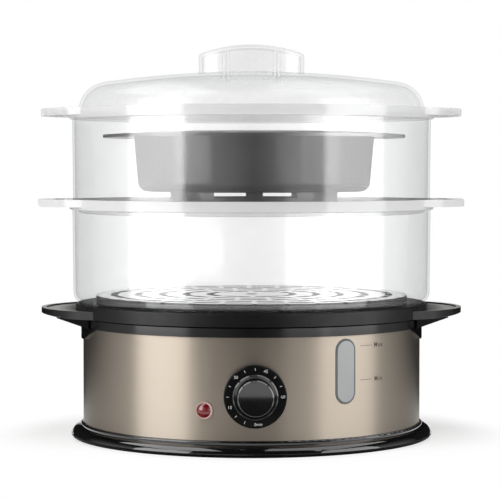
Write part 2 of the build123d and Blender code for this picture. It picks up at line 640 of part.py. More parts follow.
def cover_screws():
    screws = []
    for x, y in cover_screw_points():
        head_top = COVER_BOTTOM - FIT_GAP / 2
        head_bottom = head_top - COVER_SCREW_HEAD_HEIGHT
        screw = disc(COVER_SCREW_HEAD, head_bottom, head_top, x, y)
        screw += disc(COVER_SCREW_RADIUS, head_bottom, COVER_BOTTOM + COVER_SCREW_LENGTH, x, y)
        length, width, depth = COVER_SCREW_CROSS
        cross = Pos(x, y, head_bottom) * (Box(length, width, 2 * depth) + Box(width, length, 2 * depth))
        screws.append(screw - cross)
    return screws


# ================================================================ collar and drip tray
def top_collar():
    """Trim that caps the tub's rim and the band's top edge, with an ear hanging down each side."""
    groove_outer = HOUSING_RADIUS + FIT_GAP
    groove_top = HOUSING_TOP + FIT_GAP
    skirt_bottom = BAND_TOP + FIT_GAP / 2
    collar = turned_polygon(
        [
            (groove_outer, skirt_bottom),
            (COLLAR_RADIUS, skirt_bottom),
            (COLLAR_RADIUS, COLLAR_TOP - COLLAR_BEVEL),
            (COLLAR_RADIUS - COLLAR_BEVEL, COLLAR_TOP),
            (COLLAR_LEG_INNER, COLLAR_TOP),
            (COLLAR_LEG_INNER, groove_top - COLLAR_LEG_DEPTH),
            (COLLAR_LEG_OUTER, groove_top - COLLAR_LEG_DEPTH),
            (COLLAR_LEG_OUTER, groove_top),
            (groove_outer, groove_top),
        ]
    )
    ear_bottom = BAND_TOP - EAR_DROP
    ear_band = ring(BAND_RADIUS + FIT_GAP, EAR_RADIUS, ear_bottom, COLLAR_TOP - COLLAR_BEVEL)
    outline = polygon(
        [
            (-EAR_HALF_TOP, BAND_TOP + 1),
            (-EAR_HALF_BOTTOM, ear_bottom),
            (EAR_HALF_BOTTOM, ear_bottom),
            (EAR_HALF_TOP, BAND_TOP + 1),
            (EAR_HALF_TOP, COLLAR_TOP - COLLAR_BEVEL),
            (-EAR_HALF_TOP, COLLAR_TOP - COLLAR_BEVEL),
        ]
    )
    low_corners = outline.vertices().sort_by(Axis.Y)[:2]
    outline = fillet(low_corners, EAR_CORNER)
    ear = ear_band & prism_x(outline, BAND_RADIUS / 2, EAR_RADIUS + 5)
    return collar + mirrored_pair(ear)


def drip_tray():
    """Juice tray: dish inside the collar, chimney for the steam, seat for a basket and two grips."""
    dish_inner = TRAY_DISH_RADIUS - TRAY_WALL
    floor_top = TRAY_FLOOR_BOTTOM + TRAY_WALL
    flange_top = TRAY_FLANGE_BOTTOM + TRAY_FLANGE
    rim_inner = TRAY_RIM_RADIUS - TRAY_RIM_WALL
    chimney_inner = TRAY_CHIMNEY_RADIUS - TRAY_WALL
    chimney_top = TRAY_FLOOR_BOTTOM + TRAY_CHIMNEY_HEIGHT
    tray = turned_polygon(
        [
            (chimney_inner, TRAY_FLOOR_BOTTOM),
            (TRAY_DISH_RADIUS, TRAY_FLOOR_BOTTOM),
            (TRAY_DISH_RADIUS, TRAY_FLANGE_BOTTOM),
            (TRAY_RIM_RADIUS, TRAY_FLANGE_BOTTOM),
            (TRAY_RIM_RADIUS, TRAY_RIM_TOP - TRAY_BEVEL),
            (TRAY_RIM_RADIUS - TRAY_BEVEL, TRAY_RIM_TOP),
            (rim_inner, TRAY_RIM_TOP),
            (rim_inner, flange_top),
            (TRAY_DISH_RADIUS, flange_top),
            (TRAY_DISH_RADIUS, TRAY_SEAT_TOP),
            (dish_inner, TRAY_SEAT_TOP),
            (dish_inner, floor_top),
            (TRAY_CHIMNEY_RADIUS, floor_top),
            (TRAY_CHIMNEY_RADIUS, chimney_top),
            (chimney_inner, chimney_top),
        ]
    )
    plan = grip_outline(TRAY_HANDLE_TIP, TRAY_HANDLE_ARC, TRAY_RIM_RADIUS - 1)
    well = grip_outline(
        TRAY_HANDLE_TIP - TRAY_HANDLE_RIM, TRAY_HANDLE_ARC - TRAY_HANDLE_RIM, TRAY_RIM_RADIUS
    )
    grip_bottom = TRAY_FLANGE_BOTTOM
    grip = Pos(0, 0, grip_bottom) * extrude(plan, TRAY_HANDLE_TOP - grip_bottom)
    grip -= Pos(0, 0, TRAY_HANDLE_TOP - TRAY_HANDLE_DISH) * extrude(well, TRAY_HANDLE_DISH + 1)
    slope_start = TRAY_RIM_RADIUS + TRAY_HANDLE_SLOPE_START
    underside = polygon(
        [
            (slope_start, grip_bottom - 1),
            (slope_start, grip_bottom),
            (TRAY_HANDLE_TIP + 1, TRAY_HANDLE_TOP - TRAY_HANDLE_TIP_THICKNESS),
            (TRAY_HANDLE_TIP + 1, grip_bottom - 1),
        ]
    )
    grip -= prism_y(underside, -TRAY_HANDLE_ARC, TRAY_HANDLE_ARC)

    root_x, root_z = GUSSET_ROOT
    wedge = polygon(
        [
            (root_x, grip_bottom + 1),
            (root_x, root_z),
            (GUSSET_REACH, grip_bottom + 0.4),
            (GUSSET_REACH, grip_bottom + 1),
        ]
    )
    gusset = prism_y(wedge, -GUSSET_HALF_WIDTH, GUSSET_HALF_WIDTH)
    gusset -= disc(EAR_RADIUS + SLIDE_GAP, root_z - 1, TRAY_FLANGE_BOTTOM)
    gusset -= disc(TRAY_RIM_RADIUS - 1, TRAY_FLANGE_BOTTOM - 1, TRAY_RIM_TOP)
    return tray + mirrored_pair(grip + gusset)


# ================================================================ baskets, grilles and bowl
def basket(base, tip):
    """A clear basket with open floor, a stepped rim that the next tier sits in, and two grips."""
    inner_foot = BASKET_FOOT_RADIUS - BASKET_WALL
    rim_base = LEDGE_TOP - BASKET_LEDGE
    rim_bevel = (RIM_OUTER - BASKET_RADIUS) / 3
    bend = sqrt(0.5)
    inner_fillet = inner_foot - BASKET_FLAT_RADIUS
    outline = [
        Line((FLOOR_RING_INNER, 0), (BASKET_FLAT_RADIUS, 0)),
        ThreePointArc(
            (BASKET_FLAT_RADIUS, 0),
            (BASKET_FLAT_RADIUS + BASKET_FILLET * bend, BASKET_FILLET * (1 - bend)),
            (BASKET_FOOT_RADIUS, BASKET_FILLET),
        ),
        Line((BASKET_FOOT_RADIUS, BASKET_FILLET), (BASKET_RADIUS, rim_base - rim_bevel)),
        Line((BASKET_RADIUS, rim_base - rim_bevel), (RIM_OUTER, rim_base)),
        Line((RIM_OUTER, rim_base), (RIM_OUTER, RIM_TOP)),
        Line((RIM_OUTER, RIM_TOP), (RIM_INNER, RIM_TOP)),
        Line((RIM_INNER, RIM_TOP), (RIM_INNER, LEDGE_TOP)),
        Line((RIM_INNER, LEDGE_TOP), (BASKET_INNER, LEDGE_TOP)),
        Line((BASKET_INNER, LEDGE_TOP), (inner_foot, BASKET_FLOOR + inner_fillet)),
        ThreePointArc(
            (inner_foot, BASKET_FLOOR + inner_fillet),
            (BASKET_FLAT_RADIUS + inner_fillet * bend, BASKET_FLOOR + inner_fillet * (1 - bend)),
            (BASKET_FLAT_RADIUS, BASKET_FLOOR),
        ),
        Line((BASKET_FLAT_RADIUS, BASKET_FLOOR), (FLOOR_RING_INNER, BASKET_FLOOR)),
        Line((FLOOR_RING_INNER, BASKET_FLOOR), (FLOOR_RING_INNER, 0)),
    ]
    shell = turned(outline)
    grip_bottom = RIM_TOP - BASKET_HANDLE_THICKNESS
    plan = grip_outline(tip, BASKET_HANDLE_ARC, RIM_INNER + BASKET_RIM_WALL / 2)
    skin = BASKET_HANDLE_SKIN
    hollow = grip_outline(tip - skin, BASKET_HANDLE_ARC - skin, RIM_OUTER + skin)
    finger = Pos(FINGER_SLOT_CENTRE, 0) * SlotOverall(FINGER_SLOT_LENGTH, FINGER_SLOT_WIDTH, rotation=90)
    finger_wall = Pos(FINGER_SLOT_CENTRE, 0) * SlotOverall(
        FINGER_SLOT_LENGTH + 2 * skin, FINGER_SLOT_WIDTH + 2 * skin, rotation=90
    )
    grip = Pos(0, 0, grip_bottom) * extrude(plan, BASKET_HANDLE_THICKNESS)
    underside = extrude(hollow - finger_wall, BASKET_HANDLE_THICKNESS - skin)
    grip -= Pos(0, 0, grip_bottom) * underside
    grip -= Pos(0, 0, grip_bottom - 1) * extrude(finger, BASKET_HANDLE_THICKNESS + 2)
    return Pos(0, 0, base) * (shell + mirrored_pair(grip))


def grille(base):
    """Removable floor: a rimmed disc with rings of curved slots."""
    slots = Circle(GRILLE_HUB_HOLE)
    half = GRILLE_SLOT_WIDTH / 2
    outermost = GRILLE_RADIUS - GRILLE_RIM - GRILLE_BAR - half
    ring_count = int((outermost - GRILLE_FIRST_RING) / GRILLE_RING_PITCH) + 1
    for ring_number in range(ring_count):
        radius = GRILLE_FIRST_RING + GRILLE_RING_PITCH * ring_number
        count = 2 * round(pi * radius / GRILLE_SLOT_PITCH)
        bars = [
            Rot(0, 0, 360 / count * i) * Pos(radius, 0) * Rectangle(GRILLE_SLOT_WIDTH * 2, GRILLE_BAR)
            for i in range(count)
        ]
        slots += (Circle(radius + half) - Circle(radius - half)) - bars
    bottom = BASKET_FLOOR + SEAT_GAP
    plate = Pos(0, 0, GRILLE_TOP - GRILLE_PLATE) * extrude(Circle(GRILLE_RADIUS) - slots, GRILLE_PLATE)
    rim = ring(GRILLE_RADIUS - GRILLE_RIM, GRILLE_RADIUS, bottom, GRILLE_TOP)
    notch_width, notch_depth = GRILLE_NOTCH
    notches = [
        Rot(0, 0, 360 / GRILLE_NOTCHES * i)
        * Pos(GRILLE_RADIUS, 0, GRILLE_TOP)
        * Box(2 * GRILLE_RIM, notch_width, 2 * notch_depth)
        for i in range(GRILLE_NOTCHES)
    ]
    return Pos(0, 0, base) * (plate + rim - notches)


def rice_bowl():
    floor = BOWL_FOOT_HEIGHT
    foot = BOWL_RADIUS - BOWL_DRAFT
    flat = foot - BOWL_FILLET
    bend = sqrt(0.5)
    inner_fillet = BOWL_FILLET - BOWL_WALL
    brim_under = BOWL_HEIGHT - BOWL_WALL
    inner_top = BOWL_RADIUS - BOWL_WALL
    inner_foot = foot - BOWL_WALL
    wall_start = floor + BOWL_FILLET
    outline = [
        Line((0, floor), (flat, floor)),
        ThreePointArc(
            (flat, floor), (flat + BOWL_FILLET * bend, floor + BOWL_FILLET * (1 - bend)), (foot, wall_start)
        ),
        Line((foot, wall_start), (BOWL_RADIUS, brim_under)),
        Line((BOWL_RADIUS, brim_under), (BRIM_RADIUS, brim_under - BRIM_DROOP)),
        Line((BRIM_RADIUS, brim_under - BRIM_DROOP), (BRIM_RADIUS, BOWL_HEIGHT - BRIM_DROOP)),
        Line((BRIM_RADIUS, BOWL_HEIGHT - BRIM_DROOP), (inner_top, BOWL_HEIGHT)),
        Line((inner_top, BOWL_HEIGHT), (inner_foot, wall_start)),
        ThreePointArc(
            (inner_foot, wall_start),
            (flat + inner_fillet * bend, wall_start - inner_fillet * bend),
            (flat, floor + BOWL_WALL),
        ),
        Line((flat, floor + BOWL_WALL), (0, floor + BOWL_WALL)),
        Line((0, floor + BOWL_WALL), (0, floor)),
    ]
    stand = ring(BOWL_FOOT_RADIUS - BOWL_WALL, BOWL_FOOT_RADIUS, 0, floor + BOWL_WALL / 2)
    for left, right in BOWL_FOOT_GAPS:
        stand -= block(left, right, -BOWL_FOOT_RADIUS, BOWL_FOOT_RADIUS, BOWL_FOOT_SILL, floor)
    return Pos(BOWL_X, 0, BOWL_Z) * (turned(outline) + stand)


# ================================================================ lid
def dome_outline(inset):
    """Edges of the lid's side, corner and crown, moved in from the outside by a wall's thickness."""
    side = LID_SIDE_RADIUS - inset
    corner_radius = LID_CORNER_RADIUS - inset * 0.4
    corner_height = LID_CORNER_HEIGHT - inset
    crown = LID_CROWN_HEIGHT - inset
    crown_rise = crown - corner_height
    crown_sphere = (corner_radius**2 + crown_rise**2) / (2 * crown_rise)
    crown_mid = crown - crown_sphere + sqrt(crown_sphere**2 - corner_radius**2 / 4)
    corner_mid = (
        corner_radius + (side - corner_radius) * 0.71,
        corner_height - (corner_height - LID_SIDE_HEIGHT) * 0.33,
    )
    return [
        Line((side, LID_SHOULDER_TOP), (side, LID_SIDE_HEIGHT)),
        ThreePointArc((side, LID_SIDE_HEIGHT), corner_mid, (corner_radius, corner_height)),
        ThreePointArc((corner_radius, corner_height), (corner_radius / 2, crown_mid), (0, crown)),
    ]


def dome_envelope(inset=0.0):
    """The full space under the lid's outer surface, used to fit the handle to it."""
    side = LID_SIDE_RADIUS - inset
    edges = dome_outline(inset) + [
        Line((0, LID_CROWN_HEIGHT - inset), (0, LID_SHOULDER_TOP)),
        Line((0, LID_SHOULDER_TOP), (side, LID_SHOULDER_TOP)),
    ]
    return Pos(0, 0, LID_Z) * turned(edges)


def lid_dome():
    """Clear lid: a skirt that sits inside the basket's rim, a shoulder, and a low dome."""
    skirt_inner = LID_SKIRT_RADIUS - LID_WALL
    side_inner = LID_SIDE_RADIUS - LID_WALL
    step = [
        (LID_SIDE_RADIUS, LID_SHOULDER_TOP),
        (LID_SKIRT_RADIUS - LID_BEVEL, LID_SHOULDER_TOP),
        (LID_SKIRT_RADIUS, LID_SHOULDER_TOP - LID_BEVEL),
        (LID_SKIRT_RADIUS, 0),
        (skirt_inner, 0),
        (skirt_inner, LID_SHOULDER_TOP - LID_WALL),
        (side_inner, LID_SHOULDER_TOP - LID_WALL),
        (side_inner, LID_SHOULDER_TOP),
    ]
    edges = dome_outline(0) + dome_outline(LID_WALL)
    edges += [Line(a, b) for a, b in zip(step, step[1:])]
    edges.append(Line((0, LID_CROWN_HEIGHT - LID_WALL), (0, LID_CROWN_HEIGHT)))
    lid = Pos(0, 0, LID_Z) * turned(edges)
    holes_bottom = LID_Z + LID_CORNER_HEIGHT - LID_WALL
    holes_top = LID_Z + LID_CROWN_HEIGHT + 1
    for x, y in around(VENT_CIRCLE, VENT_ANGLES):
        lid -= disc(VENT_RADIUS, holes_bottom, holes_top, x, y)
    for x in (-PEG_OFFSET, PEG_OFFSET):
        lid -= disc(PEG_RADIUS + FIT_GAP, holes_bottom, holes_top, x, 0)
    return lid


def lid_handle():
    """Hollow oval grip with an arched top, held by two pegs that pass through the lid."""
    wall = LID_HANDLE_WALL
    foot = LID_Z + LID_CORNER_HEIGHT
    top = LID_Z + LID_HANDLE_TOP

    def arched(inset):
        plan = Ellipse(LID_HANDLE_HALF_LENGTH - inset, LID_HANDLE_HALF_WIDTH - inset)
        column = Pos(0, 0, foot) * extrude(plan, top - foot)
        arch = rod_y(
            LID_HANDLE_ARCH - inset,
            -LID_HANDLE_HALF_WIDTH - 1,
            LID_HANDLE_HALF_WIDTH + 1,
            z=top - LID_HANDLE_ARCH,
        )
        return column & arch

    outer = arched(0)
    top_edges = outer.edges().group_by(Axis.Z)[-1]
    outer = fillet(top_edges, LID_HANDLE_EDGE)
    seat = dome_envelope(-FIT_GAP / 2)
    grip = outer - arched(wall) - seat
    for x in (-PEG_OFFSET, PEG_OFFSET):
        head_top = LID_Z + LID_CROWN_HEIGHT - LID_WALL - PEG_HEAD_GAP
        head_bottom = head_top - PEG_HEAD_THICKNESS
        grip += disc(PEG_RADIUS, foot, top, x, 0) & outer
        grip += disc(PEG_RADIUS + PEG_HEAD, head_bottom, head_top, x, 0)
        grip += disc(PEG_RADIUS, head_bottom, LID_Z + LID_CROWN_HEIGHT + LID_WALL, x, 0)
    return grip


# ================================================================ window and lamp
def window_gasket():
    outer = window_outline(WINDOW_WIDTH - 2 * FIT_GAP, WINDOW_HEIGHT - 2 * FIT_GAP)
    inner = window_outline(WINDOW_WIDTH - 2 * WINDOW_FRAME, WINDOW_HEIGHT - 2 * WINDOW_FRAME)
    frame = prism_y(outer - inner, BAND_FACE - 1, WALL_CUT_BACK)
    frame &= ring(HOUSING_INNER, BAND_RADIUS + WINDOW_SEAL_PROUD, 0, BAND_TOP)
    return from_front(WINDOW_ANGLE) * frame


def water_window():
    gap = 2 * (WINDOW_FRAME + FIT_GAP / 2)
    inside = HOUSING_INNER - WINDOW_FLANGE_THICKNESS
    pane = prism_y(
        window_outline(WINDOW_WIDTH - gap, WINDOW_HEIGHT - gap), BAND_FACE - 1, WALL_CUT_BACK
    )
    pane &= ring(inside, BAND_RADIUS + WINDOW_PROUD, 0, BAND_TOP)
    flange = prism_y(
        window_outline(WINDOW_WIDTH + 2 * WINDOW_FLANGE, WINDOW_HEIGHT + WINDOW_FLANGE / 2),
        BAND_FACE,
        WALL_CUT_BACK,
    )
    flange &= ring(inside, HOUSING_INNER - FIT_GAP / 2, 0, HOUSING_TOP)
    return from_front(WINDOW_ANGLE) * (pane + flange)


def lamp_lens():
    face = BAND_FACE - LAMP_PROUD
    cap_sphere = (LAMP_RADIUS**2 + LAMP_CAP_RISE**2) / (2 * LAMP_CAP_RISE)
    flange = rod_y(LAMP_FLANGE_RADIUS, face, BAND_FACE + 2, z=LAMP_Z) - disc(
        BAND_RADIUS + FIT_GAP / 2, 0, BAND_TOP
    )
    body = rod_y(LAMP_RADIUS, face, face + LAMP_LENGTH, z=LAMP_Z)
    cap = Pos(0, face - LAMP_CAP_RISE + cap_sphere, LAMP_Z) * Sphere(cap_sphere)
    cap &= rod_y(LAMP_RADIUS, face - LAMP_CAP_RISE - 1, face + 0.5, z=LAMP_Z)
    bore = rod_y(LAMP_RADIUS - LAMP_WALL, face + LAMP_FACE_WALL, face + LAMP_LENGTH + 1, z=LAMP_Z)
    return from_front(LAMP_ANGLE) * (flange + body + cap - bore)


def lamp_nut():
    front = -sqrt(HOUSING_INNER**2 - LAMP_NUT_RADIUS**2) + FIT_GAP
    return from_front(LAMP_ANGLE) * tube_y(
        LAMP_RADIUS + RUNNING_GAP, LAMP_NUT_RADIUS, front, front + LAMP_NUT_THICKNESS, z=LAMP_Z
    )


def neon_lamp():
    front = BAND_FACE - LAMP_PROUD + LAMP_FACE_WALL + 0.6
    back = front + NEON_LENGTH
    bulb = rod_y(NEON_RADIUS, front, back, z=LAMP_Z)
    base = rod_y(NEON_RADIUS + NEON_BASE_STEP, back - NEON_BASE_LENGTH, back, z=LAMP_Z)
    return from_front(LAMP_ANGLE) * (bulb + base)


# ================================================================ timer
def dial_plate():
    plate = rod_y(DIAL_RADIUS, DIAL_FACE, BAND_FACE + 6, z=DIAL_Z)
    plate = chamfer(plate.edges().group_by(Axis.Y)[0], DIAL_BEVEL)
    plate -= disc(BAND_RADIUS + FIT_GAP / 2, 0, BAND_TOP)
    return plate - rod_y(BUSH_RADIUS + FIT_GAP, DIAL_FACE - 1, BAND_FACE + 2, z=DIAL_Z)


def timer_nut():
    front = DIAL_FACE - NUT_THICKNESS
    hexagon = Pos(0, DIAL_Z) * RegularPolygon(NUT_ACROSS_FLATS / 2, 6, major_radius=False)
    nut = prism_y(hexagon, front, DIAL_FACE - FIT_GAP / 2)
    return nut - rod_y(BUSH_RADIUS + RUNNING_GAP, front - 1, DIAL_FACE + 1, z=DIAL_Z)


def timer_knob():
    skirt_front = KNOB_BACK - KNOB_SKIRT_THICKNESS
    skirt = rod_y(KNOB_SKIRT_RADIUS, skirt_front, KNOB_BACK, z=DIAL_Z)
    skirt = chamfer(skirt.edges().group_by(Axis.Y)[0], KNOB_SKIRT_BEVEL)
    grip = rod_y(KNOB_RADIUS, KNOB_FACE, KNOB_BACK, z=DIAL_Z)
    grip = chamfer(grip.edges().group_by(Axis.Y)[0], KNOB_BEVEL)
    pointer_outline = polygon(
        [
            (-POINTER_WIDTH / 2, DIAL_Z - KNOB_RADIUS + 1),
            (POINTER_WIDTH / 2, DIAL_Z - KNOB_RADIUS + 1),
            (POINTER_WIDTH / 4, DIAL_Z - KNOB_SKIRT_RADIUS - POINTER_OVERHANG),
            (-POINTER_WIDTH / 4, DIAL_Z - KNOB_SKIRT_RADIUS - POINTER_OVERHANG),
        ]
    )
    pointer = prism_y(pointer_outline, skirt_front - POINTER_RISE, KNOB_BACK)
    nut_space = NUT_ACROSS_FLATS / 2 / cos(pi / 6) + KNOB_CAVITY_GAP
    cavity_front = BUSH_END - KNOB_CAVITY_GAP
    knob = skirt + grip + pointer
    knob -= rod_y(nut_space, cavity_front, KNOB_BACK + 1, z=DIAL_Z)
    return knob - rod_y(SHAFT_RADIUS + PRESS_GAP, KNOB_FACE + KNOB_FACE_WALL, KNOB_BACK, z=DIAL_Z)


def timer_shaft():
    return rod_y(SHAFT_RADIUS, KNOB_FACE + KNOB_FACE_WALL + SEAT_GAP, CASE_BACK + CASE_WALL, z=DIAL_Z)


def timer_case():
    """Front cup of the clockwork, with the bush that comes through the panel."""
    cup = rod_y(CASE_RADIUS, CASE_FACE, BACK_PLATE_FACE - FIT_GAP / 2, z=DIAL_Z)
    cup -= rod_y(CASE_RADIUS - CASE_WALL, CASE_FACE + CASE_WALL, CASE_BACK + 1, z=DIAL_Z)
    cup += rod_y(BUSH_RADIUS, BUSH_END, CASE_FACE + CASE_WALL, z=DIAL_Z)
    cup -= rod_y(SHAFT_RADIUS + RUNNING_GAP, BUSH_END - 1, CASE_FACE + CASE_WALL + 1, z=DIAL_Z)
    pivot = rod_y(ARBOR_RADIUS + RUNNING_GAP, CASE_FACE - 1, CASE_FACE + CASE_WALL + 1, z=PINION_Z)
    return cup - pivot


def timer_back_plate():
    """Rear of the clockwork's case, with the hammer's pin and the bell's post on its back."""
    plate = rod_y(CASE_RADIUS, BACK_PLATE_FACE, CASE_BACK, z=DIAL_Z)
    plate -= rod_y(SHAFT_RADIUS + RUNNING_GAP, BACK_PLATE_FACE - 1, CASE_BACK + 1, z=DIAL_Z)
    plate -= rod_y(ARBOR_RADIUS + RUNNING_GAP, BACK_PLATE_FACE - 1, CASE_BACK + 1, z=PINION_Z)
    for x in SWITCH_BLADES:
        plate -= block(
            x - SWITCH_BLADE_THICKNESS,
            x + SWITCH_BLADE_THICKNESS,
            BACK_PLATE_FACE - 1,
            CASE_BACK + 1,
            *SWITCH_BLADE_SPAN,
        )
    across, up = HAMMER_PIVOT
    pin_end = BELL_FRONT + HAMMER_THICKNESS + 1.4
    plate += rod_y(HAMMER_PIN_RADIUS, BACK_PLATE_FACE, pin_end, across, up)
    x, z = BELL_POST
    post_end = BELL_FRONT + BELL_DEPTH - BELL_WALL - RUNNING_GAP
    plate += rod_y(BELL_POST_RADIUS, BACK_PLATE_FACE, post_end, x, z)
    return plate - rod_y(BELL_SCREW_RADIUS + RUNNING_GAP, CASE_BACK, post_end + 1, x, z)


def bell():
    x, z = BELL_POST
    back = BELL_FRONT + BELL_DEPTH
    outer = rod_y(BELL_RADIUS, BELL_FRONT, back, x, z)
    outer = fillet(outer.edges().group_by(Axis.Y)[-1], BELL_CORNER)
    inner = rod_y(BELL_RADIUS - BELL_WALL, BELL_FRONT - 1, back - BELL_WALL, x, z)
    inner = fillet(inner.edges().group_by(Axis.Y)[-1], BELL_CORNER - BELL_WALL)
    return outer - inner - rod_y(BELL_SCREW_RADIUS + 0.2, back - 2, back + 1, x, z)


def bell_screw():
    x, z = BELL_POST
    back = BELL_FRONT + BELL_DEPTH
    head_front = back + RUNNING_GAP
    screw = rod_y(BELL_SCREW_RADIUS, back - BELL_SCREW_LENGTH, head_front + 0.5, x, z)
    return screw + rod_y(BELL_SCREW_HEAD, head_front, head_front + 1.3, x, z)


def bell_hammer():
    """Sprung lever beside the bell, with a round striker at its free end."""
    pivot_x, pivot_z = HAMMER_PIVOT
    head_x, head_z = HAMMER_HEAD
    front = BELL_FRONT + 0.2
    back = front + HAMMER_THICKNESS
    length = hypot(head_x - pivot_x, head_z - pivot_z)
    tilt = degrees(atan2(head_z - pivot_z, head_x - pivot_x))
    middle = Pos((pivot_x + head_x) / 2, (pivot_z + head_z) / 2) * Rot(0, 0, tilt)
    lever = prism_y(middle * Rectangle(length, HAMMER_ARM_WIDTH), front, back)
    lever += rod_y(HAMMER_EYE_RADIUS, front, back, pivot_x, pivot_z)
    lever += rod_y(HAMMER_HEAD_RADIUS, front, back + HAMMER_THICKNESS, head_x, head_z)
    return lever - rod_y(HAMMER_PIN_RADIUS + RUNNING_GAP, front - 1, back + 2, pivot_x, pivot_z)


def gear_outline(teeth, turn):
    """Spur gear with involute flanks, thinned for backlash; turn is its angle in degrees."""
    pitch = GEAR_MODULE * teeth / 2
    pressure = radians(PRESSURE_ANGLE)
    base = pitch * cos(pressure)
    tip = pitch + GEAR_ADDENDUM
    root = pitch - GEAR_DEDENDUM
    flank_steps = 4
    half_tooth = (pi * GEAR_MODULE / 2 - TOOTH_BACKLASH) / 2 / pitch
    involute_at_pitch = tan(pressure) - pressure

    def flank(radius):
        if radius <= base:
            return half_tooth + involute_at_pitch
        angle = sqrt((radius / base) ** 2 - 1)
        return half_tooth + involute_at_pitch - (angle - atan2(angle, 1))

    start = max(base, root)
    radii = [start + (tip - start) * i / flank_steps for i in range(flank_steps + 1)]
    if root < base:
        radii.insert(0, root)
    points = []
    for tooth in range(teeth):
        middle = 2 * pi * tooth / teeth + radians(turn)
        rising = [(r, middle - flank(r)) for r in radii]
        falling = [(r, middle + flank(r)) for r in reversed(radii)]
        points += [(r * cos(a), r * sin(a)) for r, a in rising + falling]
    return polygon(points)


def main_gear():
    back = GEAR_FRONT + GEAR_FACE
    gear = prism_y(Pos(0, DIAL_Z) * gear_outline(MAIN_TEETH, TOOTH_UP), GEAR_FRONT, back)
    hub_end = back + GEAR_HUB_RISE
    hub = rod_y(SHAFT_RADIUS + GEAR_HUB_WALL, GEAR_FRONT, hub_end, z=DIAL_Z)
    return gear + hub - rod_y(SHAFT_RADIUS + PRESS_GAP, GEAR_FRONT - 1, hub_end + 1, z=DIAL_Z)


def pinion():
    """Small gear and its arbor, carried between the case and the back plate."""
    half_pitch = 180 / PINION_TEETH
    outline = Pos(0, PINION_Z) * gear_outline(PINION_TEETH, half_pitch - TOOTH_UP)
    gear = prism_y(outline, GEAR_FRONT, GEAR_FRONT + GEAR_FACE)
    return gear + rod_y(ARBOR_RADIUS, CASE_FACE + RUNNING_GAP, CASE_BACK - RUNNING_GAP, z=PINION_Z)


def timer_cam():
    back = CAM_FRONT + CAM_THICKNESS
    cam = rod_y(CAM_RADIUS, CAM_FRONT, back, z=DIAL_Z)
    half = CAM_NOTCH / 2
    notch = block(CAM_RADIUS - half, CAM_RADIUS + half, CAM_FRONT - 1, back + 1, DIAL_Z - half, DIAL_Z + half)
    return cam - notch - rod_y(SHAFT_RADIUS + PRESS_GAP, CAM_FRONT - 1, back + 1, z=DIAL_Z)


def spring_barrel():
    back = BACK_PLATE_FACE - BARREL_MARGIN
    drum = rod_y(BARREL_RADIUS, BARREL_FRONT, back, z=DIAL_Z)
    return drum - rod_y(SHAFT_RADIUS + PRESS_GAP, BARREL_FRONT - 1, back + 1, z=DIAL_Z)


def switch_block():
    """Moulded holder for the contact blades, on the inside of the back plate."""
    low, high = SWITCH_BLADE_SPAN
    holder = block(
        SWITCH_BLADES[0] - SWITCH_BLOCK_WALL,
        SWITCH_BLADES[1] + SWITCH_BLOCK_WALL,
        BACK_PLATE_FACE - SWITCH_BLOCK_DEPTH,
        BACK_PLATE_FACE - FIT_GAP / 2,
        low - 1.2,
        high - 0.2,
    )
    half = SWITCH_BLADE_THICKNESS / 2 + RUNNING_GAP
    for x in SWITCH_BLADES:
        holder -= block(
            x - half,
            x + half,
            BACK_PLATE_FACE - SWITCH_BLOCK_DEPTH - 1,
            BACK_PLATE_FACE + 1,
            low + SWITCH_BLADE_INSET - 0.2,
            high - SWITCH_BLADE_INSET - 0.2,
        )
    return holder


def switch_contacts():
    """Two brass blades: each runs from beside the cam, through the holder, to a tab behind the case."""
    low, high = SWITCH_BLADE_SPAN
    half = SWITCH_BLADE_THICKNESS / 2
    bottom, top = low + SWITCH_BLADE_INSET, high - SWITCH_BLADE_INSET - 0.4
    blades = []
    for x in SWITCH_BLADES:
        tab = block(x - half, x + half, CAM_FRONT, SWITCH_TAB_END, bottom, top)
        leaf = block(x - half, x + half, CAM_FRONT, CAM_FRONT + CAM_THICKNESS, bottom, DIAL_Z + 5)
        blades.append(tab + leaf)
    return blades


# ================================================================ heater
def heater_plate():
    """Cast plate that closes the floor's opening, with blind bosses over its screws."""
    plate = disc(HEATER_PLATE_RADIUS, PLATE_BOTTOM, PLATE_TOP)
    plate = fillet(plate.edges().group_by(Axis.Z)[-1], HEATER_PLATE_EDGE)
    for x, y in around(HEATER_SCREW_CIRCLE, HEATER_SCREW_ANGLES):
        plate += disc(HEATER_SCREW_HEAD, PLATE_BOTTOM + 1, PLATE_TOP + SCREW_BOSS_RISE, x, y)
        plate -= disc(HEATER_SCREW_RADIUS + RUNNING_GAP, PLATE_BOTTOM - 1, PLATE_TOP + SCREW_HOLE_RISE, x, y)
    return plate


def heater_tube():
    """Open ring of sheathed element under the plate."""
    section = Plane.XZ * (Pos(TUBE_CIRCLE, TUBE_Z - FIT_GAP / 2) * Circle(TUBE_RADIUS))
    arc = revolve(section, Axis.Z, 360 - TUBE_GAP_ANGLE)
    return Rot(0, 0, TUBE_GAP_ANGLE / 2) * arc


def terminal_points():
    inset = TUBE_GAP_ANGLE / 2 + 7
    return [(TUBE_CIRCLE * cos(radians(a)), TUBE_CIRCLE * sin(radians(a))) for a in (-inset, inset)]


def push_on_tab(x, y, bottom, top):
    thickness, width, _ = TAB
    return block(x - thickness / 2, x + thickness / 2, y - width / 2, y + width / 2, bottom, top)


def heater_terminals():
    """The element's two cold pins, each with a push-on tab."""
    top = TUBE_Z - TUBE_RADIUS - FIT_GAP
    pins = []
    for x, y in terminal_points():
        pin = disc(PIN_RADIUS, top - PIN_LENGTH, top, x, y)
        pins.append(pin + push_on_tab(x, y, top - PIN_LENGTH - TAB[2], top - PIN_LENGTH + 1))
    return pins


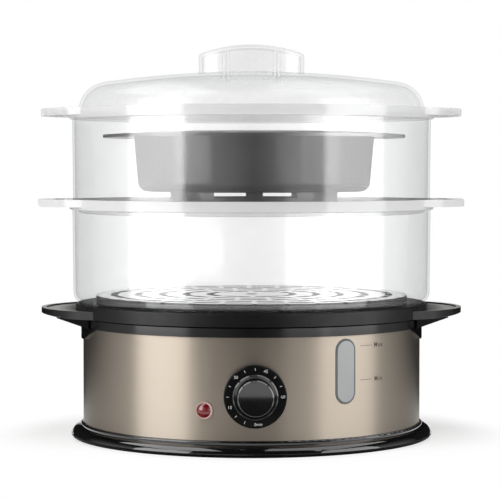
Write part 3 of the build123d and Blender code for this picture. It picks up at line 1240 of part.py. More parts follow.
def heater_gasket():
    gasket = ring(HEATER_HOLE, HEATER_PLATE_RADIUS, FLOOR_TOP, PLATE_BOTTOM)
    for x, y in around(HEATER_SCREW_CIRCLE, HEATER_SCREW_ANGLES):
        gasket -= disc(HEATER_SCREW_RADIUS + FIT_GAP, FLOOR_TOP - 1, PLATE_BOTTOM + 1, x, y)
    return gasket


def heater_clamp():
    clamp = ring(TUBE_OUTER + CLAMP_MARGIN, CLAMP_RADIUS, CLAMP_BOTTOM, CLAMP_TOP)
    for x, y in around(HEATER_SCREW_CIRCLE, HEATER_SCREW_ANGLES):
        clamp -= disc(HEATER_SCREW_RADIUS + FIT_GAP, CLAMP_BOTTOM - 1, CLAMP_TOP + 1, x, y)
    return clamp


def heater_screws():
    screws = []
    for x, y in around(HEATER_SCREW_CIRCLE, HEATER_SCREW_ANGLES):
        head_top = CLAMP_BOTTOM - RUNNING_GAP
        head_bottom = head_top - HEATER_SCREW_HEAD_HEIGHT
        screw = disc(HEATER_SCREW_HEAD, head_bottom, head_top, x, y)
        screws.append(screw + disc(HEATER_SCREW_RADIUS, head_bottom, PLATE_TOP + SCREW_HOLE_RISE - 0.2, x, y))
    return screws


def thermostat():
    top = PLATE_BOTTOM - RUNNING_GAP
    low = top - THERMOSTAT_HEIGHT
    body = disc(THERMOSTAT_RADIUS, low, top)
    for side in (-1, 1):
        body += push_on_tab(side * THERMOSTAT_RADIUS * 0.55, 0, low - TAB[2], low + 0.5)
    return body


def thermostat_clip():
    """Spring strap that holds the thermostat up against the plate."""
    low = PLATE_BOTTOM - THERMOSTAT_HEIGHT - 2 * RUNNING_GAP
    reach = CLAMP_RADIUS - CLIP_INSET
    half = CLIP_WIDTH / 2
    cheek = THERMOSTAT_RADIUS + SEAT_GAP
    clip = block(-half, half, -reach, reach, low - CLIP_SHEET, low)
    for side in (-1, 1):
        y0, y1 = sorted((side * (reach - CLIP_FOOT), side * reach))
        clip += block(-half, half, y0, y1, low - CLIP_SHEET, CLAMP_BOTTOM - RUNNING_GAP)
        y0, y1 = sorted((side * cheek, side * (cheek + CLIP_SHEET)))
        clip += block(-half, half, y0, y1, low - CLIP_SHEET, low + CLIP_CHEEK)
    return clip


def thermal_fuse():
    x, z = -CLAMP_RADIUS + FUSE_INSET, CLAMP_BOTTOM - FUSE_RADIUS - 0.2
    half = FUSE_LENGTH / 2
    return rod_y(FUSE_RADIUS, -half, half, x, z) + rod_y(
        FUSE_LEAD_RADIUS, -half - FUSE_LEAD_LENGTH, half + FUSE_LEAD_LENGTH, x, z
    )


def steam_ring():
    """Loose ring that stands round the heater; water enters through the notches in its foot."""
    bottom = FLOOR_TOP + SEAT_GAP
    top = bottom + STEAM_RING_HEIGHT
    body = ring(STEAM_RING_RADIUS - STEAM_RING_WALL, STEAM_RING_RADIUS, bottom, top)
    body += ring(STEAM_RING_RADIUS - STEAM_RING_LIP, STEAM_RING_RADIUS, top - STEAM_RING_WALL, top)
    notch = block(
        -STEAM_NOTCH_WIDTH / 2,
        STEAM_NOTCH_WIDTH / 2,
        -STEAM_RING_RADIUS - 1,
        -STEAM_RING_RADIUS + STEAM_RING_WALL + 2,
        bottom - 1,
        bottom + STEAM_NOTCH_HEIGHT,
    )
    for i in range(STEAM_NOTCH_COUNT):
        body -= from_front(360 / STEAM_NOTCH_COUNT * (i + 0.5)) * notch
    return body


# ================================================================ mains inlet and wiring
def cord_gland():
    """Bush in the rear wall that the mains cord comes in through."""
    sleeve_end = BAND_FACE - GLAND_SLEEVE
    wall_inside = -sqrt(HOUSING_INNER**2 - (GLAND_BODY + GLAND_LOCK) ** 2)
    inner_end = wall_inside + GLAND_INSIDE
    flange = rod_y(GLAND_FLANGE, BAND_FACE - GLAND_FLANGE_THICKNESS, BAND_FACE + 2, z=GLAND_Z)
    flange -= disc(BAND_RADIUS + FIT_GAP / 2, 0, BAND_TOP)
    body = rod_y(GLAND_BODY, BAND_FACE - 1, inner_end, z=GLAND_Z)
    lock_front = wall_inside + FIT_GAP
    lock = rod_y(GLAND_BODY + GLAND_LOCK, lock_front, lock_front + GLAND_LOCK_THICKNESS, z=GLAND_Z)
    sleeve = rod_y(GLAND_BODY, sleeve_end, BAND_FACE, z=GLAND_Z)
    sleeve = chamfer(sleeve.edges().group_by(Axis.Y)[0], GLAND_SLEEVE - 3, GLAND_TAPER)
    gland = flange + sleeve + body + lock - rod_y(GLAND_BORE, sleeve_end - 1, inner_end + 1, z=GLAND_Z)
    return from_front(180) * gland


def terminal_block():
    length, width, height = TERMINAL_BLOCK
    y = TERMINAL_BLOCK_Y
    bottom = FLOOR_BOTTOM - height
    shape = block(-length / 2, length / 2, y - width / 2, y + width / 2, bottom, FLOOR_BOTTOM)
    hole_radius, hole_depth = TERMINAL_HOLE
    for i in (-1, 0, 1):
        shape -= disc(hole_radius, bottom - 1, bottom + hole_depth, i * TERMINAL_PITCH, y)
    return shape


def wire(points):
    """A round lead along straight runs with rounded corners."""
    path = FilletPolyline(*points, radius=WIRE_BEND)
    start, direction = path @ 0, path % 0
    section = Plane(origin=start, z_dir=direction) * Circle(WIRE_RADIUS)
    return sweep(section, path)


def wiring_level(layer):
    """Height of a layer of leads, counted up from just above the bottom cover."""
    return COVER_TOP + WIRE_LAYER * (layer + 1)


def block_end(pole):
    """Where a lead leaves the terminal block: its front face, at one of the poles -1, 0 and 1."""
    front = TERMINAL_BLOCK_Y - TERMINAL_BLOCK[1] / 2
    return pole * TERMINAL_PITCH, front, FLOOR_BOTTOM - TERMINAL_BLOCK[2] + 4


def switch_end():
    """Where the leads meet the switch's tabs, behind the clockwork."""
    return SWITCH_TAB_END + SEAT_GAP + WIRE_RADIUS, SWITCH_BLADE_SPAN[0] + 2


def lead_to_timer():
    """Live lead, from the terminal block to the timer's switch."""
    x, y, z = block_end(1)
    side = CLAMP_RADIUS + WIRE_SIDE_MARGIN
    tab_y, tab_z = switch_end()
    low = wiring_level(1)
    return wire(
        [
            (x, y - 0.2, z),
            (x, y - WIRE_RUN, z),
            (side, CLAMP_RADIUS + WIRE_BEND, low),
            (side, -CLAMP_RADIUS, low),
            (SWITCH_BLADES[1], tab_y, low),
            (SWITCH_BLADES[1], tab_y, tab_z),
        ]
    )


def lead_to_heater():
    """Switched lead, from the timer's switch to the element's first pin."""
    tab_y, tab_z = switch_end()
    x, y = terminal_points()[0]
    pin_side = y - TAB[1] / 2 - 0.4 - WIRE_RADIUS
    low = wiring_level(0)
    return wire(
        [
            (SWITCH_BLADES[0], tab_y, tab_z),
            (SWITCH_BLADES[0], tab_y, low),
            (x, pin_side - WIRE_RUN, low),
            (x, pin_side, low),
        ]
    )


def lead_neutral():
    """Neutral lead, from the terminal block to the element's second pin."""
    block_x, block_y, z = block_end(0)
    x, y = terminal_points()[1]
    pin_side = y + TAB[1] / 2 + 0.4 + WIRE_RADIUS
    low = wiring_level(0)
    return wire(
        [
            (block_x, block_y - 0.2, z),
            (block_x, block_y - WIRE_RUN, z),
            (x, pin_side + WIRE_RUN, low),
            (x, pin_side, low),
        ]
    )


# ================================================================ what is written
def all_parts():
    return {
        "foot_ring": foot_ring(),
        "metal_band": metal_band(),
        "base_housing": base_housing(),
        "bottom_cover": bottom_cover(),
        "rubber_feet": rubber_feet(),
        "cover_screws": cover_screws(),
        "top_collar": top_collar(),
        "water_window": water_window(),
        "window_gasket": window_gasket(),
        "lamp_lens": lamp_lens(),
        "lamp_nut": lamp_nut(),
        "neon_lamp": neon_lamp(),
        "dial_plate": dial_plate(),
        "timer_nut": timer_nut(),
        "timer_knob": timer_knob(),
        "timer_shaft": timer_shaft(),
        "timer_case": timer_case(),
        "timer_back_plate": timer_back_plate(),
        "main_gear": main_gear(),
        "pinion": pinion(),
        "timer_cam": timer_cam(),
        "spring_barrel": spring_barrel(),
        "switch_block": switch_block(),
        "switch_contacts": switch_contacts(),
        "bell": bell(),
        "bell_screw": bell_screw(),
        "bell_hammer": bell_hammer(),
        "heater_plate": heater_plate(),
        "heater_tube": heater_tube(),
        "heater_terminals": heater_terminals(),
        "heater_gasket": heater_gasket(),
        "heater_clamp": heater_clamp(),
        "heater_screws": heater_screws(),
        "thermostat": thermostat(),
        "thermostat_clip": thermostat_clip(),
        "thermal_fuse": thermal_fuse(),
        "steam_ring": steam_ring(),
        "cord_gland": cord_gland(),
        "terminal_block": terminal_block(),
        "lead_to_timer": lead_to_timer(),
        "lead_to_heater": lead_to_heater(),
        "lead_neutral": lead_neutral(),
        "drip_tray": drip_tray(),
        "lower_basket": basket(LOWER_BASKET_Z, LOWER_HANDLE_TIP),
        "lower_grille": grille(LOWER_BASKET_Z),
        "upper_basket": basket(UPPER_BASKET_Z, UPPER_HANDLE_TIP),
        "upper_grille": grille(UPPER_BASKET_Z),
        "rice_bowl": rice_bowl(),
        "lid_dome": lid_dome(),
        "lid_handle": lid_handle(),
    }


def write_parts():
    os.makedirs("parts", exist_ok=True)
    for name, shape in all_parts().items():
        solids = shape if isinstance(shape, list) else [shape]
        pieces = [solid for piece in solids for solid in piece.solids()]
        whole = pieces[0] if len(pieces) == 1 else Compound(children=pieces)
        export_step(whole, f"parts/{name}.step")


if __name__ == "__main__":
    write_parts()
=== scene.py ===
"""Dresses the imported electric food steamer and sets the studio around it.

The CAD model is the fixed frame: every new piece sits where a node of it is, in metres.
"""

import json
import math

import bmesh
import bpy
from bpy.props import FloatProperty, FloatVectorProperty, PointerProperty
from bpy.types import Operator, Panel, PropertyGroup
from mathutils import Matrix, Vector


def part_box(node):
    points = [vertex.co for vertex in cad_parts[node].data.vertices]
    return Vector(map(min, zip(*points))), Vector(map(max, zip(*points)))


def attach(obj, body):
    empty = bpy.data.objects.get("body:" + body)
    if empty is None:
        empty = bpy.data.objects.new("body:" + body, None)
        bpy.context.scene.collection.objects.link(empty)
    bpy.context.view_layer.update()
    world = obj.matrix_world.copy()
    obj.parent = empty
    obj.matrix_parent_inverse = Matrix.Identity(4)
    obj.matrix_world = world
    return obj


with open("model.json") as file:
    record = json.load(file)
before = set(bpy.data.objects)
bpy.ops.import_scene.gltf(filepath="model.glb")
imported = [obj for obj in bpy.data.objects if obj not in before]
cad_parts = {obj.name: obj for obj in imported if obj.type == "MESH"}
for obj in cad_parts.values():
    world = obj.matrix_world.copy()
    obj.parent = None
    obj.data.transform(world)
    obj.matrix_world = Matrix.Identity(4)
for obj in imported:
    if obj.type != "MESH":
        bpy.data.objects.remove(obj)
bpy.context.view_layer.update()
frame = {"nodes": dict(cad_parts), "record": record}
NODES = frame["nodes"]

bl_info = {
    "name": "Electric food steamer",
    "version": (1, 0, 0),
    "blender": (4, 5, 0),
    "location": "3D View > Sidebar > Steamer",
    "description": "Dresses an electric food steamer and sets its studio",
    "category": "Object",
}


def middle(box):
    """The middle of a box."""
    low, high = box
    return (low + high) / 2


def grey(level):
    """A colour with no cast."""
    return (level, level, level, 1.0)


MM = 0.001

# Places on the CAD model
BAND_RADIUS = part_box("metal_band")[1].x
DIAL_LOW, DIAL_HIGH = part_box("dial_plate")
DIAL_CENTRE = (DIAL_LOW + DIAL_HIGH) / 2
DIAL_FACE = DIAL_LOW.y
DIAL_RADIUS = (DIAL_HIGH.x - DIAL_LOW.x) / 2
LAMP_CENTRE = middle(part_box("lamp_lens"))
LAMP_TURN = math.atan2(LAMP_CENTRE.x, -LAMP_CENTRE.y)  # round from the front
LOWER_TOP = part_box("lower_basket")[1].z
UPPER_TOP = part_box("upper_basket")[1].z
TRAY_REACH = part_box("drip_tray")[1].x
BRIM_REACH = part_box("rice_bowl")[1].x
WALL_REACH = 120.0 * MM  # from the axis to where a basket's handles start
LEDGE = 6.6 * MM  # from a basket's top down to the underside of its ledge
FOOT = (UPPER_TOP - 80.0 * MM, UPPER_TOP - 63.5 * MM)  # the upper basket's foot in the lower basket
POSTS = (17.0 * MM, 6.0 * MM, UPPER_TOP + 37.0 * MM)  # of the lid's handle: off centre, radius, top
SOFT = 0.6 * MM  # over which the haze of a ledge fades

# Clear plastic
CLEAR_TINT = grey(0.966)
CLEAR_EDGE = (0.885, 0.888, 0.89, 1.0)
LID_EDGE = (0.925, 0.927, 0.928, 1.0)
MILK = grey(0.68)
PALE = grey(0.95)
SIDE_MIRROR = grey(0.1)
LEDGE_MIRROR = grey(0.06)

# Other colours
NEAR_BLACK = grey(0.003)
# Painted reflection: the pale pink bezel ring round the lamp's lens.
LAMP_RIM_SHEEN = (0.56, 0.38, 0.34, 1.0)
WHITE = grey(1.0)

# Surface detail
NOISE_LOW, NOISE_HIGH = 0.3, 0.7  # nearly all of a noise lies between these
TOOL_GRAIN = 900.0  # the grain that a mould leaves, in parts per metre
SATIN_DEPTH = 0.006 * MM
GLOSS_DEPTH = 0.003 * MM

# Print
PRINT_LIFT = 0.03 * MM  # from a surface to the middle of the print on it
PRINT_DEPTH = 0.08 * MM
TICK = (0.34 * MM, 1.6 * MM)
TICK_STEP = 22.5  # degrees, from the dial's lowest point
DIAL_NUMBERS = {3: "15", 6: "30", 9: "45", 12: "60"}  # in place of a tick, by its step
ZERO_WORD_SCALE = 0.95
ZERO_WORD_SHIFT = 1.9 * MM
LINE_START, LINE_STEP, LINE_PARTS = 36.4, 0.5, 10  # degrees round the band, and how many bars
LINE_PART = (1.05 * MM, 0.3 * MM)
WORD_TURN = 44.5  # degrees round the band to the middle of a level's word
LEVELS = (  # word, height, and each letter's place along it in millimetres
    ("Max", 68.1 * MM, (-3.0, 0.0, 2.55)),
    ("Min", 46.6 * MM, (-2.6, 0.1, 2.2)),
)

# Lights: sizes are across and along, or across and up
BOX_DISTANCE = 1.05
BOXES = (  # name, angle round from the front, height and size
    ("left softbox", -60.9, 0.43, (0.73, 0.90)),
    ("right softbox", 64.5, 0.43, (0.82, 0.90)),
    ("right front panel", 34.0, 0.06, (0.56, 0.12)),
)
TOP_LIGHTS = (  # name, place and size
    ("left top light", (-0.70, -0.05, 1.05), (0.75, 1.3)),
    ("right top light", (0.56, 0.05, 1.05), (0.90, 1.3)),
)
TOP_SHARE = 1.1  # a top light's power for each watt of the softbox on its side
CARD = ("knob card", (0.008, -0.476, 0.007), (0.034, 0.014))
FACING_DOWN, UPRIGHT = (0.0, 0.0, 0.0), (math.pi / 2, 0.0, 0.0)  # how a light is turned
FILL_STRENGTH = 0.25
CLEAR_LAYERS = 32  # how many clear walls a ray may pass

# Floor: where each change starts and ends, outwards from the middle
FLOOR_RADIUS = 1.4
# The painted shadow mask: only between these the lit paper shows through the white.
SHADOW_FADES = (0.135, 0.185)
SHADOW_TO_BACK = (-0.08, 0.04)  # along Y, from the front to the back
ROOM_GROWS = (0.2, 0.45)
BRIGHT_FADES = (0.17, 0.28)
PAST_FOOT = (0.13, 0.155)


# ---------------------------------------------------------------- node trees


def put(tree, kind, inputs=None, **settings):
    """Adds a node, sets it up, and joins or sets its inputs."""
    node = tree.nodes.new(kind)
    for name, value in settings.items():
        setattr(node, name, value)
    for name, value in (inputs or {}).items():
        if isinstance(value, bpy.types.NodeSocket):
            tree.links.new(value, node.inputs[name])
        else:
            node.inputs[name].default_value = value
    return node


def maths(tree, operation, first, second=0.0):
    """One step of arithmetic on two values."""
    return put(tree, "ShaderNodeMath", {0: first, 1: second}, operation=operation).outputs[0]


def vector_maths(tree, operation, first, second=(0.0, 0.0, 0.0)):
    """One step of arithmetic on two vectors."""
    return put(tree, "ShaderNodeVectorMath", {0: first, 1: second}, operation=operation).outputs


def length(tree, vector):
    """How long a vector is."""
    return vector_maths(tree, "LENGTH", vector)["Value"]


def apart(tree, vector):
    """A vector's X, Y and Z."""
    return put(tree, "ShaderNodeSeparateXYZ", {0: vector}).outputs


def spread(tree, value, low, high, to_low=0.0, to_high=1.0, smooth=False):
    """Maps a value from one range to another and holds it inside."""
    node = put(
        tree,
        "ShaderNodeMapRange",
        {"Value": value, "From Min": low, "From Max": high, "To Min": to_low, "To Max": to_high},
        interpolation_type="SMOOTHSTEP" if smooth else "LINEAR",
    )
    return node.outputs["Result"]


def blend_colours(tree, factor, first, second):
    """A colour between two others."""
    node = put(tree, "ShaderNodeMix", {0: factor}, data_type="RGBA")
    for socket, value in ((node.inputs[6], first), (node.inputs[7], second)):
        if isinstance(value, bpy.types.NodeSocket):
            tree.links.new(value, socket)
        else:
            socket.default_value = value
    return node.outputs[2]


def blend_shaders(tree, factor, first, second):
    """A shader node between two others."""
    return put(tree, "ShaderNodeMixShader", {0: factor, 1: first.outputs[0], 2: second.outputs[0]})


def object_place(tree, stretch=(1.0, 1.0, 1.0)):
    """The place on a piece, in metres, stretched along its axes."""
    place = put(tree, "ShaderNodeTexCoord").outputs["Object"]
    return put(tree, "ShaderNodeMapping", {"Vector": place, "Scale": stretch}).outputs["Vector"]


def noise(tree, place, scale, detail=2.0, roughness=0.5):
    """Even noise of a size in parts per metre."""
    node = put(
        tree,
        "ShaderNodeTexNoise",
        {"Vector": place, "Scale": scale, "Detail": detail, "Roughness": roughness},
    )
    return node.outputs["Fac"]


def uneven(tree, cloud, value, less, more):
    """A value that a noise moves between a smaller and a larger share of itself."""
    return spread(tree, cloud, NOISE_LOW, NOISE_HIGH, value * less, value * more)


def bumps(tree, height, strength, depth):
    """The normals of a fine relief."""
    return put(tree, "ShaderNodeBump", {"Height": height, "Strength": strength, "Distance": depth}).outputs[0]


def side_on(tree):
    """How far a surface turns from the eye: 0 where it is square to it, 1 at its outline."""
    return put(tree, "ShaderNodeLayerWeight", {"Blend": 0.5}).outputs["Facing"]


def shade(colour, factor):
    """A colour made lighter or darker."""
    return tuple(min(1.0, c * factor) for c in colour[:3]) + (1.0,)


def mottled(tree, cloud, colour, darker, lighter):
    """A colour that a noise moves between a darker and a lighter shade of itself."""
    return blend_colours(tree, cloud, shade(colour, darker), shade(colour, lighter))


def empty_material(name):
    """A material with nothing but its output."""
    material = bpy.data.materials.new(name)
    material.use_nodes = True
    tree = material.node_tree
    tree.nodes.clear()
    return material, tree, tree.nodes.new("ShaderNodeOutputMaterial")


def join_body(tree, out, inputs):
    """Gives a material the one shader that its inputs describe."""
    body = put(tree, "ShaderNodeBsdfPrincipled", inputs)
    tree.links.new(body.outputs[0], out.inputs["Surface"])


# ---------------------------------------------------------------- finishes


def moulded_plastic(name, colour, gloss, depth=0.02 * MM, coat=0.0, ior=1.5):
    """Moulded plastic: a trace of mottle, uneven gloss and the fine grain of the tool."""
    material, tree, out = empty_material(name)
    place = object_place(tree)
    relief = bumps(tree, noise(tree, place, TOOL_GRAIN, 4.0, 0.6), 0.6, depth)
    inputs = {
        "Base Color": mottled(tree, noise(tree, place, 38.0, 3.0), colour, 0.88, 1.12),
        "Roughness": uneven(tree, noise(tree, place, 120.0, 4.0), gloss, 0.85, 1.2),
        "Normal": relief,
        "IOR": ior,
        "Coat Weight": coat,
        "Coat Roughness": 0.04,
    }
    join_body(tree, out, inputs)
    return material


def edged_plastic(name, colour, gloss, pale, start, end, top_only, ior=1.5, coat=0.0):
    """Dark plastic with a painted highlight: it turns pale between two radii from the axis, all over, or only
    on top at a low angle as a painted reflection of the bright room.
    """
    material, tree, out = empty_material(name)
    place = object_place(tree)
    level = vector_maths(tree, "MULTIPLY", place, (1.0, 1.0, 0.0))[0]
    # Painted highlight: the pale band between the two radii stands in for light that the edge catches.
    painted_sheen = spread(tree, length(tree, level), start, end, smooth=True)
    if top_only:
        # On top only: a painted reflection, on faces turned up and seen at a low angle.
        normal = put(tree, "ShaderNodeNewGeometry").outputs["Normal"]
        painted_sheen = maths(tree, "MULTIPLY", painted_sheen, spread(tree, apart(tree, normal)["Z"], 0.5, 0.9))
        painted_sheen = maths(tree, "MULTIPLY", painted_sheen, maths(tree, "POWER", side_on(tree), 8.0))
    plain = mottled(tree, noise(tree, place, 60.0, 3.0), colour, 0.85, 1.15)
    inputs = {
        "Base Color": blend_colours(tree, painted_sheen, plain, pale),
        "Roughness": uneven(tree, noise(tree, place, 120.0, 4.0), gloss, 0.85, 1.2),
        "Normal": bumps(tree, noise(tree, place, TOOL_GRAIN, 4.0, 0.6), 0.6, SATIN_DEPTH),
        "IOR": ior,
        "Coat Weight": coat,
        "Coat Roughness": 0.04,
    }
    join_body(tree, out, inputs)
    return material


def knob_plastic(name, colour, axis, rims):
    """Gloss black cap with thin light lines painted at its turned edges: painted rim highlights.

    Each rim is its radius from the axis, its half width and how light it is.
    """
    material, tree, out = empty_material(name)
    place = object_place(tree)
    from_axis = vector_maths(tree, "SUBTRACT", place, axis)[0]
    radius = length(tree, vector_maths(tree, "MULTIPLY", from_axis, (1.0, 0.0, 1.0))[0])
    mottle_and_sheen = noise(tree, place, 160.0, 2.0)
    tint = mottled(tree, mottle_and_sheen, colour, 0.8, 1.2)
    # Each rim is a painted highlight: a thin pale ring round the knob's axis.
    for rim, width, light in rims:
        off = maths(tree, "ABSOLUTE", maths(tree, "SUBTRACT", radius, rim))
        line = spread(tree, off, width * 0.4, width, 1.0, 0.0)
        line = maths(tree, "MULTIPLY", line, uneven(tree, mottle_and_sheen, 1.0, 0.7, 1.0))
        tint = blend_colours(tree, line, tint, grey(light))
    inputs = {"Base Color": tint, "Roughness": 0.05, "IOR": 1.5, "Coat Weight": 0.3, "Coat Roughness": 0.03}
    join_body(tree, out, inputs)
    return material


def lens_plastic(name, colour, rim=None):
    """Coloured clear lens plastic with a deep gloss.

    A rim is the lens's height, its angle round from the front, and the radius where its pale edge, a painted
    reflection on the bezel, starts.
    """
    material, tree, out = empty_material(name)
    place = object_place(tree)
    facets = noise(tree, place, 700.0, 3.0)
    tint = mottled(tree, facets, colour, 0.75, 1.2)
    if rim:
        height, turn, start = rim
        sideways = (math.cos(turn), math.sin(turn), 0.0)
        across = vector_maths(tree, "DOT_PRODUCT", place, sideways)["Value"]
        up = maths(tree, "SUBTRACT", apart(tree, place)["Z"], height)
        radius = length(tree, put(tree, "ShaderNodeCombineXYZ", {0: across, 1: up}).outputs[0])
        # Painted reflection of the bezel, pale past the start radius.
        tint = blend_colours(tree, spread(tree, radius, start, start + 0.3 * MM), tint, LAMP_RIM_SHEEN)
    inputs = {
        "Base Color": tint,
        "Roughness": 0.16,
        "Normal": bumps(tree, facets, 0.3, 0.08 * MM),
        "Coat Weight": 1.0,
        "Coat Roughness": 0.03,
    }
    join_body(tree, out, inputs)
    return material


def turned_metal(name, colour, gloss):
    """Bare metal with fine tooling marks and a little uneven tarnish."""
    material, tree, out = empty_material(name)
    marks = noise(tree, object_place(tree, (60.0, 60.0, 60.0)), 30.0, 6.0, 0.65)
    inputs = {
        "Base Color": mottled(tree, noise(tree, object_place(tree), 60.0, 3.0), colour, 0.9, 1.1),
        "Metallic": 1.0,
        "Roughness": uneven(tree, marks, gloss, 0.8, 1.25),
        "Normal": bumps(tree, marks, 0.5, 0.01 * MM),
    }
    join_body(tree, out, inputs)
    return material


def brushed_band(name, colour):
    """Champagne steel, brushed round the band: long fine hairs, with soft streaks among them."""
    material, tree, out = empty_material(name)
    hairs = noise(tree, object_place(tree, (4.0, 4.0, 1500.0)), 6.0, 4.0, 0.6)
    streaks = noise(tree, object_place(tree, (5.0, 5.0, 400.0)), 3.0, 3.0)
    tone = maths(tree, "ADD", maths(tree, "MULTIPLY", hairs, 0.7), maths(tree, "MULTIPLY", streaks, 0.3))
    inputs = {
        "Base Color": mottled(tree, spread(tree, tone, NOISE_LOW, NOISE_HIGH), colour, 0.96, 1.03),
        "Metallic": 0.93,
        "Roughness": spread(tree, hairs, 0.35, 0.65, 0.36, 0.43),
        "Anisotropic": 0.9,
        "Anisotropic Rotation": 0.25,
        "Normal": bumps(tree, hairs, 0.15, 0.02 * MM),
        "Tangent": put(tree, "ShaderNodeTangent", direction_type="RADIAL", axis="Z").outputs[0],
    }
    join_body(tree, out, inputs)
    return material


def print_ink(name, colour):
    """Printed ink: nearly flat, with a slight break-up in the gloss."""
    material, tree, out = empty_material(name)
    cloud = noise(tree, object_place(tree), 2500.0, 2.0)
    inputs = {
        "Base Color": mottled(tree, cloud, colour, 0.85, 1.1),
        "Roughness": spread(tree, cloud, NOISE_LOW, NOISE_HIGH, 0.45, 0.6),
    }
    join_body(tree, out, inputs)
    return material


def without_posts(tree, facing, where):
    """Keeps the outlines of the handle's posts from showing through it."""
    from_middle, radius, top = POSTS
    off = maths(tree, "ABSOLUTE", maths(tree, "SUBTRACT", maths(tree, "ABSOLUTE", where["X"]), from_middle))
    aside = spread(tree, off, radius, radius + SOFT)
    above = spread(tree, where["Z"], top, top + SOFT)
    return maths(tree, "MULTIPLY", facing, maths(tree, "MAXIMUM", aside, above))


def clear_shell(
    name, edge, haze, colour, gloss, mirror, outline=0.78, ledges=(), handle_haze=0.0, posts=False
):
    """Clear moulded plastic: it lets the room through, mirrors it by angle and holds a faint haze.

    Each ledge is its lowest and highest level and its haze. Past the wall comes the handles' haze.
    """
    material, tree, out = empty_material(name)
    place = object_place(tree)
    where = apart(tree, place)
    facing = side_on(tree)
    if posts:
        facing = without_posts(tree, facing, where)

    through = blend_colours(tree, facing, CLEAR_TINT, edge)
    through = blend_colours(tree, maths(tree, "POWER", facing, 12.0), through, shade(edge, outline))
    clear = put(tree, "ShaderNodeBsdfTransparent", {"Color": through})

    share = uneven(tree, noise(tree, place, 45.0, 3.0), haze, 0.8, 1.2)
    for low, high, amount in ledges:
        above = spread(tree, where["Z"], low - SOFT, low + SOFT, 0.0, amount)
        below = spread(tree, where["Z"], high - SOFT, high + SOFT, 1.0, 0.0)
        share = maths(tree, "MAXIMUM", share, maths(tree, "MULTIPLY", above, below))
    on_ledge = spread(tree, share, haze * 1.2, 0.4)
    flat = put(tree, "ShaderNodeCombineXYZ", {0: where["X"], 1: where["Y"], 2: 0.0}).outputs[0]
    radius = length(tree, flat)
    past_wall = spread(tree, radius, WALL_REACH, WALL_REACH + SOFT, 0.0, handle_haze)
    share = maths(tree, "MAXIMUM", share, past_wall)

    within = spread(tree, radius, WALL_REACH - SOFT, WALL_REACH, 1.0, 0.0)
    pale = blend_colours(tree, maths(tree, "MULTIPLY", on_ledge, within), colour, PALE)
    front = put(tree, "ShaderNodeBsdfDiffuse", {"Color": pale})
    back = put(tree, "ShaderNodeBsdfTranslucent", {"Color": pale})
    cloudy = blend_shaders(tree, spread(tree, on_ledge, 0.0, 1.0, 0.5, 0.22), front, back)
    body = blend_shaders(tree, share, clear, cloudy)

    mirrored = blend_colours(tree, maths(tree, "POWER", facing, 5.0), grey(mirror), SIDE_MIRROR)
    inputs = {
        "Color": blend_colours(tree, on_ledge, mirrored, LEDGE_MIRROR),
        "Roughness": uneven(tree, noise(tree, place, 90.0, 3.0), gloss, 0.8, 1.2),
        "Normal": bumps(tree, noise(tree, place, 16.0, 2.0), 0.3, 0.4 * MM),
    }
    shine = put(tree, "ShaderNodeBsdfAnisotropic", inputs)
    whole = put(tree, "ShaderNodeAddShader", {0: body.outputs[0], 1: shine.outputs[0]})
    tree.links.new(whole.outputs[0], out.inputs["Surface"])
    return material


def basket_shell(name, ledges):
    """A basket's clear plastic: hazier on its ledges and handles."""
    return clear_shell(name, CLEAR_EDGE, 0.03, MILK, 0.13, 0.06, ledges=ledges, handle_haze=0.5)


OWN_FINISHES = {
    "timer_knob": lambda: knob_plastic(
        "knob black",
        NEAR_BLACK,
        middle(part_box("timer_shaft")),
        # Painted rim highlights: radius, half width and lightness of each pale ring.
        ((10.9 * MM, 0.35 * MM, 0.10), (13.75 * MM, 0.4 * MM, 0.05)),
    ),
    "dial_plate": lambda: moulded_plastic("dial black", grey(0.002), 0.25, ior=1.3),
    "lower_basket": lambda: basket_shell(
        "lower basket shell", ((LOWER_TOP - LEDGE, LOWER_TOP + LEDGE, 0.92),)
    ),
    "upper_basket": lambda: basket_shell(
        "upper basket shell", ((UPPER_TOP - LEDGE, UPPER_TOP + LEDGE, 0.45), (*FOOT, 0.5))
    ),
    "lid_dome": lambda: clear_shell("lid shell", LID_EDGE, 0.02, PALE, 0.25, 0.035, outline=0.88),
    "lid_handle": lambda: clear_shell("lid handle shell", CLEAR_EDGE, 0.05, MILK, 0.2, 0.03, posts=True),
    # The tray's handle tips are painted pale on top at a low angle: a painted reflection of the bright room.
    "drip_tray": lambda: edged_plastic(
        "tray black",
        NEAR_BLACK,
        0.32,
        (0.80, 0.80, 0.77, 1.0),
        TRAY_REACH - 24.0 * MM,
        TRAY_REACH - 8.0 * MM,
        True,
        ior=1.37,
    ),
    # The bowl's brim is painted pale at its outer edge: a painted highlight.
    "rice_bowl": lambda: edged_plastic(
        "bowl plastic",
        (0.03, 0.028, 0.028, 1.0),
        0.2,
        grey(0.34),
        BRIM_REACH - 1.6 * MM,
        BRIM_REACH - 0.8 * MM,
        False,
        coat=0.15,
    ),
}
